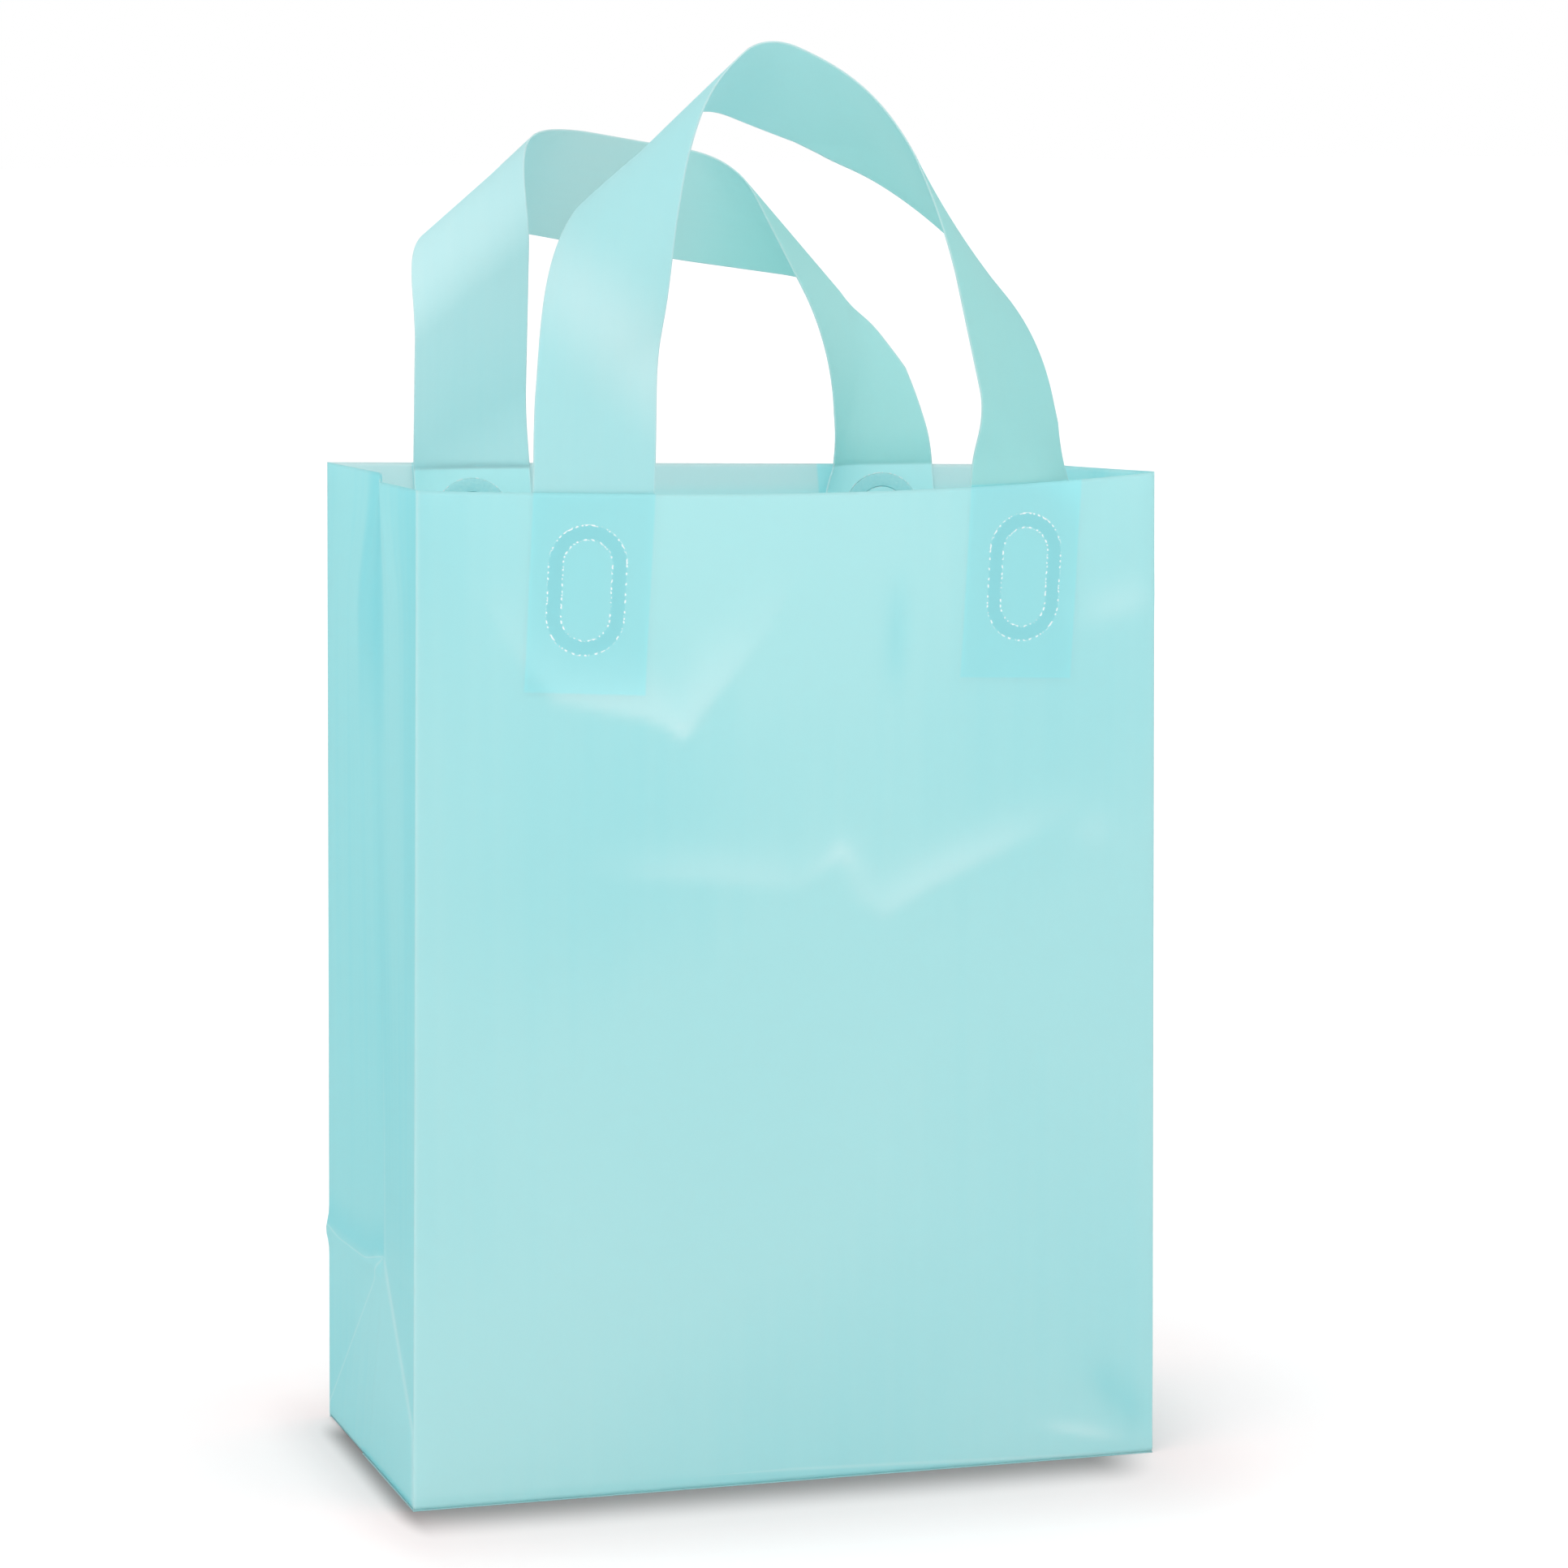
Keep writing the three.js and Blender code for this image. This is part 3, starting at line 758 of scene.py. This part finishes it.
def strip_piece(name, strip, material):
    """Closed strip with a map that holds the place across it and the height above the mouth."""
    sizes = strip.sizes
    s = np.linspace(-sizes.weld_length, strip.length + sizes.weld_length, STRIP_ROWS)
    across = (crowded(STRIP_POINTS, 0.6) - 0.5) * sizes.strip_width
    across, s = np.meshgrid(across, s)
    front, back = (strip.place(s, across, lift) for lift in (0, sizes.strip_film))
    points, faces = closed_sheet(front, back)
    piece = new_piece(name, points, faces, material, "loop_film")
    above = np.minimum(s, strip.length - s)
    flat = np.stack([across.ravel(), above.ravel()], -1)
    add_map(piece, "strip", np.tile(flat, (2, 1)))
    add_values(piece, "middle", np.tile((s / strip.length).ravel(), 2))
    return piece


class BAG_OT_loops(bpy.types.Operator):
    """Build the front and rear loop handles"""

    bl_idname = "bag.loops"
    bl_label = "Loop handles"

    def execute(self, context):
        material = strip_material(context.scene)
        for end in ("front", "rear"):
            node = f"{end}_handle"
            piece = strip_piece(f"{end}_loop", Strip(context.scene, end == "front"), material)
            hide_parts(node)
        return {"FINISHED"}


def weld_ring(strip, side):
    """Band with a low rounded section round an oval of two half circles and straight sides."""
    sizes = strip.sizes
    angle = np.linspace(0, 2 * np.pi, WELD_POINTS, endpoint=False)[:, None]
    turn = np.linspace(0, 2 * np.pi, WELD_CORNERS, endpoint=False)[None, :]
    radius = sizes.ring_width / 2 - sizes.ring_band / 2 * (1 - np.cos(turn))
    straight = (sizes.ring_height - sizes.ring_width) / 2
    across = radius * np.cos(angle) - WELD_OFFSET
    up = radius * np.sin(angle) + np.sign(np.round(np.sin(angle), 9)) * straight
    up -= sizes.ring_drop - (0 if strip.front else REAR_WELD_RISE)
    height = WELD_RAISE * (1 + np.sin(turn)) + 0 * angle
    lift = sizes.strip_film + height if strip.front else -height
    return closed_ring(strip.leg(side, across, up, lift))


class BAG_OT_welds(bpy.types.Operator):
    """Build the oval weld bands on the four strip ends"""

    bl_idname = "bag.welds"
    bl_label = "Weld bands"

    def execute(self, context):
        material = weld_material(context.scene)
        for end in ("front", "rear"):
            strip = Strip(context.scene, end == "front")
            for hand, side in (("left", -1), ("right", 1)):
                points, faces = weld_ring(strip, side)
                new_piece(f"{end}_{hand}_weld", points, faces, material, "loop_film")
        return {"FINISHED"}


# Materials

WHITE = (1, 1, 1)
BLACK = (0, 0, 0)
SHEEN = (0.8, 1, 1)
RIM_LIGHT_COLOUR = (1, 0.93, 0.925)
CROSSING_SHADE = (0.60, 0.60, 0.57)
REAR_END_LIGHT_AND_WELD_BASE = (0.67, 0.975, 0.98)
FILM_IOR = 1.4
SOFT_BORDER = 0.5 * MM
LINE_HEIGHT = 0.05 * MM
STRIP_LINE_HEIGHT = 0.06 * MM
SHEEN_HEIGHT = 52 * MM
SHEEN_REACH = 30 * MM

# How far the film goes towards the weld's colour: in clouds, in draw lines and all over
CLOUDS, PANEL_LINES, GUSSET_LINES, DEPTH = 0.7, 0.12, 0.62, 0.08
STRIP_CLOUDS, STRIP_LINES, STRIP_DEPTH = 0.3, 0.1, 0.04

# How strongly other things show in the film: painted highlights along the folds, painted light on
# the rear rim, strip ends, weld bands and pale cut edges, and on the loops painted light on the rear
# left leg, painted shade at the rear crossing and a painted glint; and how much the clouds change
# its roughness
FOLD_HIGHLIGHTS, RIM_LIGHT, STRIP_END, BAND, STRIP_BAND, CUT_EDGE = 0.8, 0.85, 0.6, 0.5, 0.3, 0.5
REAR_LEG_LIGHT, CROSSING, GLINT = 0.45, 0.5, 0.38
PATCHES = 0.2


class Wire:
    """A socket in a material that is added, multiplied and compared like a number."""

    def __init__(self, graph, socket):
        self.graph, self.socket = graph, socket

    def maths(self, operation, *others):
        values = dict(enumerate((self, *others)))
        return self.graph.node("ShaderNodeMath", {"operation": operation}, values)

    __add__ = __radd__ = partialmethod(maths, "ADD")
    __sub__ = partialmethod(maths, "SUBTRACT")
    __mul__ = partialmethod(maths, "MULTIPLY")
    __truediv__ = partialmethod(maths, "DIVIDE")
    __pow__ = partialmethod(maths, "POWER")
    __abs__ = partialmethod(maths, "ABSOLUTE")
    above = partialmethod(maths, "MAXIMUM")
    below = partialmethod(maths, "MINIMUM")

    def __rsub__(self, other):
        return self.graph.node("ShaderNodeMath", {"operation": "SUBTRACT"}, {0: other, 1: self})

    def step(self, low, high):
        """Smooth rise from 0 at low to 1 at high."""
        sockets = {"Value": self, "From Min": low, "From Max": high}
        return self.graph.node("ShaderNodeMapRange", {"interpolation_type": "SMOOTHSTEP"}, sockets)

    def hump(self, width):
        """1 where the value is 0, falling smoothly to 0 at the given width on either side."""
        return 1 - abs(self).step(0, width)


class Graph:
    """Nodes of one material or world, made from expressions."""

    def __init__(self, name, kind="materials"):
        self.owner = getattr(bpy.data, kind).new(name)
        self.owner.use_nodes = True
        self.tree = self.owner.node_tree
        self.tree.nodes.clear()

    def node(self, kind, settings=None, sockets=None, output=0):
        """Adds a node: settings come first, then the values and links of its sockets."""
        node = self.tree.nodes.new(kind)
        for name, value in (settings or {}).items():
            setattr(node, name, value)
        for name, value in (sockets or {}).items():
            if isinstance(value, Wire):
                self.tree.links.new(value.socket, node.inputs[name])
            else:
                node.inputs[name].default_value = value
        return Wire(self, node.outputs[output]) if len(node.outputs) else None

    def colour(self, factor, first, second):
        """Colour that goes from the first to the second by a factor."""
        sockets = {0: factor, 6: rgba(first), 7: rgba(second)}
        return self.node("ShaderNodeMix", {"data_type": "RGBA"}, sockets, 2)

    def attribute(self, name, output=2):
        return self.node("ShaderNodeAttribute", {"attribute_name": name}, output=output)

    def position(self):
        """Place on the object, whole and as its three parts."""
        place = self.node("ShaderNodeTexCoord", output=3)
        return place, *self.parts(place)

    def parts(self, value):
        """The three parts of a vector."""
        split = self.node("ShaderNodeSeparateXYZ", sockets={0: value}).socket.node
        return [Wire(self, output) for output in split.outputs]

    def least(self, name):
        """Smallest of three numbers kept for each point, whatever their signs."""
        values = self.attribute(name, 1)
        plain = self.node("ShaderNodeVectorMath", {"operation": "ABSOLUTE"}, {0: values})
        first, second, third = self.parts(plain)
        return first.below(second).below(third)

    def flat_place(self, name):
        """Place kept as a UV map, whole and as its two parts."""
        place = self.node("ShaderNodeUVMap", {"uv_map": name})
        return place, *self.parts(place)[:2]

    def noise(self, place, scale, stretch=(1, 1, 1), detail=0):
        """Cloudy pattern round 0.5, drawn out along an axis where its stretch is small."""
        moved = self.node("ShaderNodeVectorMath", {"operation": "MULTIPLY"}, {0: place, 1: stretch})
        sockets = {"Vector": moved, "Scale": scale, "Detail": detail}
        return self.node("ShaderNodeTexNoise", sockets=sockets)

    def finish(self, colour, roughness, normal, through, share):
        """Frosted film: light is scattered back at the surface, and a share goes through."""
        sockets = {"Base Color": colour, "Roughness": roughness, "Normal": normal, "IOR": FILM_IOR}
        surface = self.node("ShaderNodeBsdfPrincipled", sockets=sockets)
        sockets = {"Color": rgba(through), "Normal": normal}
        glow = self.node("ShaderNodeBsdfTranslucent", sockets=sockets)
        film = self.node("ShaderNodeMixShader", sockets={0: share, 1: surface, 2: glow})
        self.node("ShaderNodeOutputMaterial", sockets={"Surface": film})
        return self.owner

    def bump(self, height, distance):
        return self.node("ShaderNodeBump", sockets={"Height": height, "Distance": distance})


def rgba(colour):
    """Socket value of a colour: a wire as it is, and three numbers with a fourth."""
    return colour if isinstance(colour, Wire) else (*colour, 1.0)


def oval_gap(x, up, sizes):
    """Distance outside an upright oval, negative inside it: an oval is all places within the
    radius of a short upright line."""
    straight = (sizes.ring_height - sizes.ring_width) / 2
    beyond = (abs(up) - straight).above(0)
    return (x * x + beyond * beyond) ** 0.5 - sizes.ring_width / 2


def strip_end_mask(across, up, sizes):
    """1 where a strip's end lies behind the film, with soft borders."""
    inside = (sizes.strip_width / 2 - abs(across)).step(-SOFT_BORDER, SOFT_BORDER)
    return inside * (up + sizes.weld_length).step(-SOFT_BORDER, SOFT_BORDER)


def weld_marks(graph, gap, place, sizes):
    """Band mask of a weld, and the specks of trapped air along both of its borders."""
    half = sizes.ring_band / 2
    inside = half - abs(gap + half)
    band = inside.step(-SOFT_BORDER / 2, SOFT_BORDER / 2)
    return band, inside.hump(0.45 * MM) * graph.noise(place, 1100).step(0.5, 0.6)


def frosted_film(graph, scene, colour, streaks):
    """Tint, roughness, share of light let through and draw lines of the bag's film: cloudy
    frosting, faint upright draw lines, painted highlights on creases and along the crisp folds, and
    painted shade in dents and hollows."""
    looks = scene.film_looks
    deep = looks.weld_colour
    place = graph.position()[0]
    white = graph.attribute("painted_light_and_shade")
    cloud = graph.noise(place, 9)
    lines = graph.noise(place, 260, (1, 1, 0.012))
    tint = graph.colour((cloud - 0.5) * CLOUDS + (lines - 0.5) * streaks + DEPTH, colour, deep)
    # Painted light and highlights above 0, painted shade below 0.
    shine = white.above(0).below(1)
    tint = graph.colour(shine, tint, SHEEN)
    tint = graph.colour((white * -1).above(0).below(1), tint, deep)
    # Painted highlights along the crisp fold lines.
    tint = graph.colour(graph.least("lines").hump(LINE_REACH) * FOLD_HIGHLIGHTS, tint, SHEEN)
    rough = looks.frosting + (cloud - 0.5) * PATCHES
    return tint, rough, looks.clearness - shine * 0.1, lines


def gusset_material(scene):
    """Film of the two sides, a little deeper in colour and with clearer draw lines."""
    looks = scene.film_looks
    graph = Graph("frosted gusset film")
    tint, rough, share, lines = frosted_film(graph, scene, looks.gusset_colour, GUSSET_LINES)
    return graph.finish(tint, rough, graph.bump(lines, LINE_HEIGHT), looks.film_through, share)


def panel_material(scene):
    """Film of the front and rear, with the marks of the strips' ends and their welds, and painted
    light on the rear panel's rim below the mouth.
    """
    looks, sizes, mouth = scene.film_looks, scene.loop_sizes, scene.bag_sizes.height
    graph = Graph("frosted panel film")
    tint, rough, share, lines = frosted_film(graph, scene, looks.panel_colour, PANEL_LINES)
    place, across, up = graph.flat_place("weld")
    _, _, y, z = graph.position()
    rear = y.step(0, 20 * MM)
    # Painted light: the rear panel's rim below the mouth is tinted paler and greyer.
    rim = z.step(mouth - 18 * MM, mouth - 9 * MM) * rear
    tint = graph.colour(rim * RIM_LIGHT, tint, RIM_LIGHT_COLOUR)
    end = strip_end_mask(across, up, sizes)
    gap = oval_gap(across + WELD_OFFSET, up + sizes.ring_drop - rear * REAR_WELD_RISE, sizes)
    band, speck = weld_marks(graph, gap, place, sizes)
    tint = graph.colour(end * STRIP_END, tint, looks.strip_end_colour)
    tint = graph.colour(band * BAND, tint, looks.weld_colour)
    tint = graph.colour(speck, tint, WHITE)
    normal = graph.bump(lines, LINE_HEIGHT)
    share = share - end * 0.15 - speck * 0.3
    return graph.finish(tint, rough - band * 0.12, normal, looks.film_through, share)


def flap_material(scene):
    """Base flaps: the same film, doubled and pressed flat."""
    looks = scene.film_looks
    graph = Graph("pressed base film")
    cloud = graph.noise(graph.position()[0], 30, detail=2)
    tint = graph.colour(cloud, looks.panel_colour, looks.gusset_colour)
    rough = looks.frosting + (cloud - 0.5) * PATCHES
    normal = graph.bump(cloud, 0.1 * MM)
    return graph.finish(tint, rough, normal, looks.film_through, looks.clearness)


def strip_material(scene):
    """Loop strip: frosting drawn out along the strip, pale cut edges and weld marks, with painted
    shade towards the right legs and at the rear crossing, painted light on the rear left leg and
    the rear strips' ends, and a painted glint on the front left leg.
    """
    looks, sizes, mouth = scene.film_looks, scene.loop_sizes, scene.bag_sizes.height
    deep = looks.weld_colour
    graph = Graph("loop strip film")
    place, across, above = graph.flat_place("strip")
    spot, _, y, z = graph.position()
    cloud = graph.noise(spot, 16)
    lines = graph.noise(place, 420, (1, 0.02, 1))
    rear, middle = y.step(5 * MM, 15 * MM), graph.attribute("middle")
    # Painted shade towards the loops' right legs.
    tint = graph.colour(middle.step(0.3, 0.75), looks.strip_colour, looks.painted_shade_colour)
    # Painted light: the rear loop's left leg, which faces down into the bag, is painted paler.
    tint = graph.colour(rear * middle.step(0.6, 0.2) * REAR_LEG_LIGHT, tint, WHITE)
    tint = graph.colour(rear * (middle - 0.5).hump(0.2) * CROSSING, tint, CROSSING_SHADE)
    glint = (above + across * 0.8 - SHEEN_HEIGHT).hump(SHEEN_REACH) * middle.step(0.5, 0.3)
    tint = graph.colour(glint * (1 - rear) * GLINT, tint, WHITE)
    mottle = (cloud - 0.5) * STRIP_CLOUDS + (lines - 0.5) * STRIP_LINES + STRIP_DEPTH
    tint = graph.colour(mottle, tint, deep)
    end = (z + rear * 1.2 * MM).step(mouth - 2 * MM, mouth - 3.5 * MM)
    # Painted light: the rear strips' ends below the mouth take a paler colour than the front ones.
    end_tint = graph.colour(rear, looks.strip_end_colour, REAR_END_LIGHT_AND_WELD_BASE)
    tint = graph.colour(end, tint, end_tint)
    edge = (abs(across) - sizes.strip_width / 2).hump(0.7 * MM)
    tint = graph.colour(edge * CUT_EDGE, tint, WHITE)
    gap = oval_gap(across + WELD_OFFSET, above + sizes.ring_drop - rear * REAR_WELD_RISE, sizes)
    band, speck = weld_marks(graph, gap, spot, sizes)
    tint = graph.colour(band * STRIP_BAND, tint, deep)
    tint = graph.colour(speck, tint, WHITE)
    rough = looks.frosting - 0.05 + (cloud - 0.5) * PATCHES
    share = looks.clearness - end * (rear * 0.2 + 0.3)
    normal = graph.bump(lines, STRIP_LINE_HEIGHT)
    return graph.finish(tint, rough, normal, looks.strip_through, share)


def weld_material(scene):
    """Welded band: film melted together, smoother and deeper in colour, with a fine knurl."""
    looks = scene.film_looks
    graph = Graph("melted weld film")
    knurl = graph.noise(graph.position()[0], 900, detail=1)
    # The weld bands take the same pale colour as the rear strips' painted ends.
    tint = graph.colour(knurl * 0.4, REAR_END_LIGHT_AND_WELD_BASE, looks.weld_colour)
    rough = looks.frosting - 0.2 + knurl * 0.1
    normal = graph.bump(knurl, 0.2 * MM)
    return graph.finish(tint, rough, normal, looks.strip_through, looks.clearness * 0.3)


# Stage

CAMERA_PLACE = (-0.5140, -1.7491, 0.4793)
CAMERA_TURN = (82.0, 0.0, -16.89)
CAMERA_LENS = 126.5
LIGHT_BOUNCES = 8
GLOSS_BOUNCES = 1
LIGHT_FROM = (-0.5, -0.75, 0.35)
KEY_PLACE, KEY_AIM, KEY_SIZE = (-1.3, -1.6, 1.9), (0, 0, 0.2), 1.6
FLOOR_GLOW = 0.105
FLOOR_GREY = (0.9, 0.9, 0.9)
# Near the bag the floor is painted warmer, which greys the cyan shade thrown by light through the film.
SHADE_TINT = (1.0, 0.895, 0.89)
TINT_REACH = 160 * MM

# The painted shadow round the foot: reach and depth of its core and its rim, how far it is drawn
# out on each side, and how far in from the foot it starts on the right and at the back
CORE_REACH, CORE_DEPTH = 6.5 * MM, 0.5
RIM_REACH, RIM_DEPTH = 21 * MM, 0.16
DRAWN_LEFT, DRAWN_RIGHT, DRAWN_FRONT, DRAWN_BACK = 1.46, 3.4, 5.6, 4
START_RIGHT, START_BACK = 24 * MM, 30 * MM


def sky(scene):
    """Surroundings: plain white to the camera and through the film, and otherwise a light that
    grows towards the upper left front."""
    settings = scene.stage_settings
    graph = Graph("white surroundings", "worlds")
    camera = graph.node("ShaderNodeLightPath", output=0)
    through = Wire(graph, camera.socket.node.outputs["Is Transmission Ray"])
    direction = graph.node("ShaderNodeTexCoord", output=0)
    both = {0: direction, 1: LIGHT_FROM}
    facing = graph.node("ShaderNodeVectorMath", {"operation": "DOT_PRODUCT"}, both, 1)
    level = facing * settings.sky_slope + settings.sky_light
    seen = camera.above(through)
    strength = level + (1 - level) * seen
    glow = graph.node("ShaderNodeBackground", sockets={"Color": rgba(WHITE), "Strength": strength})
    graph.node("ShaderNodeOutputWorld", sockets={"Surface": glow})
    scene.world = graph.owner


def lamp(name, place, aim, size, power):
    """Large square lamp at a place, turned towards a point."""
    data = bpy.data.lights.new(name, "AREA")
    data.size, data.energy = size, power
    holder = bpy.data.objects.new(name, data)
    holder.location = place
    direction = Vector(aim) - Vector(place)
    holder.rotation_euler = direction.to_track_quat("-Z", "Y").to_euler()
    bpy.context.scene.collection.objects.link(holder)


def floor_material(wall):
    """White floor, pure white to the camera where nothing shades it, with a painted shadow round the
    bag's foot, a soft dark rim drawn out towards the front, and a warmer tint painted near the bag."""
    graph = Graph("white floor")
    seen = graph.node("ShaderNodeLightPath", output=0)
    _, x, y, _ = graph.position()
    left, right = (x * -1 - wall.width / 2).above(0), (x - wall.width / 2).above(0)
    front, back = (y * -1 - wall.depth / 2).above(0), (y - wall.depth / 2).above(0)
    aside = left / DRAWN_LEFT + (x - wall.width / 2 + START_RIGHT).above(0) / DRAWN_RIGHT
    ahead = front / DRAWN_FRONT + (y - wall.depth / 2 + START_BACK).above(0) / DRAWN_BACK
    away = (aside * aside + ahead * ahead) ** 0.5
    shade = 1 - away.hump(CORE_REACH) * CORE_DEPTH - away.hump(RIM_REACH) * RIM_DEPTH
    around = ((left + right) ** 2 + (front + back) ** 2) ** 0.5
    near = graph.colour(around.hump(TINT_REACH), WHITE, SHADE_TINT)
    shaded = graph.colour(shade, BLACK, near)
    tint = graph.colour(seen, FLOOR_GREY, shaded)
    lit = graph.node("ShaderNodeBsdfDiffuse", sockets={"Color": tint})
    glow = graph.node("ShaderNodeEmission", sockets={"Color": shaded, "Strength": seen * FLOOR_GLOW})
    shader = graph.node("ShaderNodeAddShader", sockets={0: lit, 1: glow})
    graph.node("ShaderNodeOutputMaterial", sockets={"Surface": shader})
    return graph.owner


class BAG_OT_stage(bpy.types.Operator):
    """Build the white floor, the surroundings, the soft lamp and the camera"""

    bl_idname = "bag.stage"
    bl_label = "Stage"

    def execute(self, context):
        scene = context.scene
        scene.view_settings.view_transform = "Standard"
        scene.cycles.max_bounces, scene.cycles.glossy_bounces = LIGHT_BOUNCES, GLOSS_BOUNCES
        half = scene.stage_settings.floor_size / 2
        mesh = bpy.data.meshes.new("floor")
        corners = [(-half, -half, 0), (half, -half, 0), (half, half, 0), (-half, half, 0)]
        mesh.from_pydata(corners, [], [(0, 1, 2, 3)])
        mesh.materials.append(floor_material(Wall(scene.bag_sizes)))
        floor = bpy.data.objects.new("floor", mesh)
        scene.collection.objects.link(floor)
        sky(scene)
        lamp("key_light", KEY_PLACE, KEY_AIM, KEY_SIZE, scene.stage_settings.key_power)
        data = bpy.data.cameras.new("camera")
        data.lens = CAMERA_LENS
        camera = bpy.data.objects.new("camera", data)
        camera.location = CAMERA_PLACE
        camera.rotation_euler = [math.radians(turn) for turn in CAMERA_TURN]
        scene.collection.objects.link(camera)
        scene.camera = camera
        return {"FINISHED"}


class BAG_PT_panel(bpy.types.Panel):
    """Carrier bag pieces and stage"""

    bl_label = "Carrier Bag"
    bl_idname = "BAG_PT_panel"
    bl_space_type = "VIEW_3D"
    bl_region_type = "UI"
    bl_category = "Carrier Bag"

    def draw(self, context):
        for name, group in GROUPS.items():
            for setting in group.__annotations__:
                self.layout.prop(getattr(context.scene, name), setting)
        for operator in OPERATORS:
            self.layout.operator(operator.bl_idname)


GROUPS = {
    "bag_sizes": BagSizes,
    "loop_sizes": LoopSizes,
    "film_looks": FilmLooks,
    "stage_settings": StageSettings,
}
OPERATORS = (BAG_OT_film, BAG_OT_base_flaps, BAG_OT_loops, BAG_OT_welds, BAG_OT_stage)


def register():
    for name, group in GROUPS.items():
        bpy.utils.register_class(group)
        setattr(bpy.types.Scene, name, PointerProperty(type=group))
    for kind in (*OPERATORS, BAG_PT_panel):
        bpy.utils.register_class(kind)


def unregister():
    for kind in (BAG_PT_panel, *reversed(OPERATORS)):
        bpy.utils.unregister_class(kind)
    for name, group in reversed(GROUPS.items()):
        delattr(bpy.types.Scene, name)
        bpy.utils.unregister_class(group)


def main():
    register()
    bpy.ops.bag.film()
    bpy.ops.bag.base_flaps()
    bpy.ops.bag.loops()
    bpy.ops.bag.welds()
    bpy.ops.bag.stage()


if __name__ == "__main__":
    main()
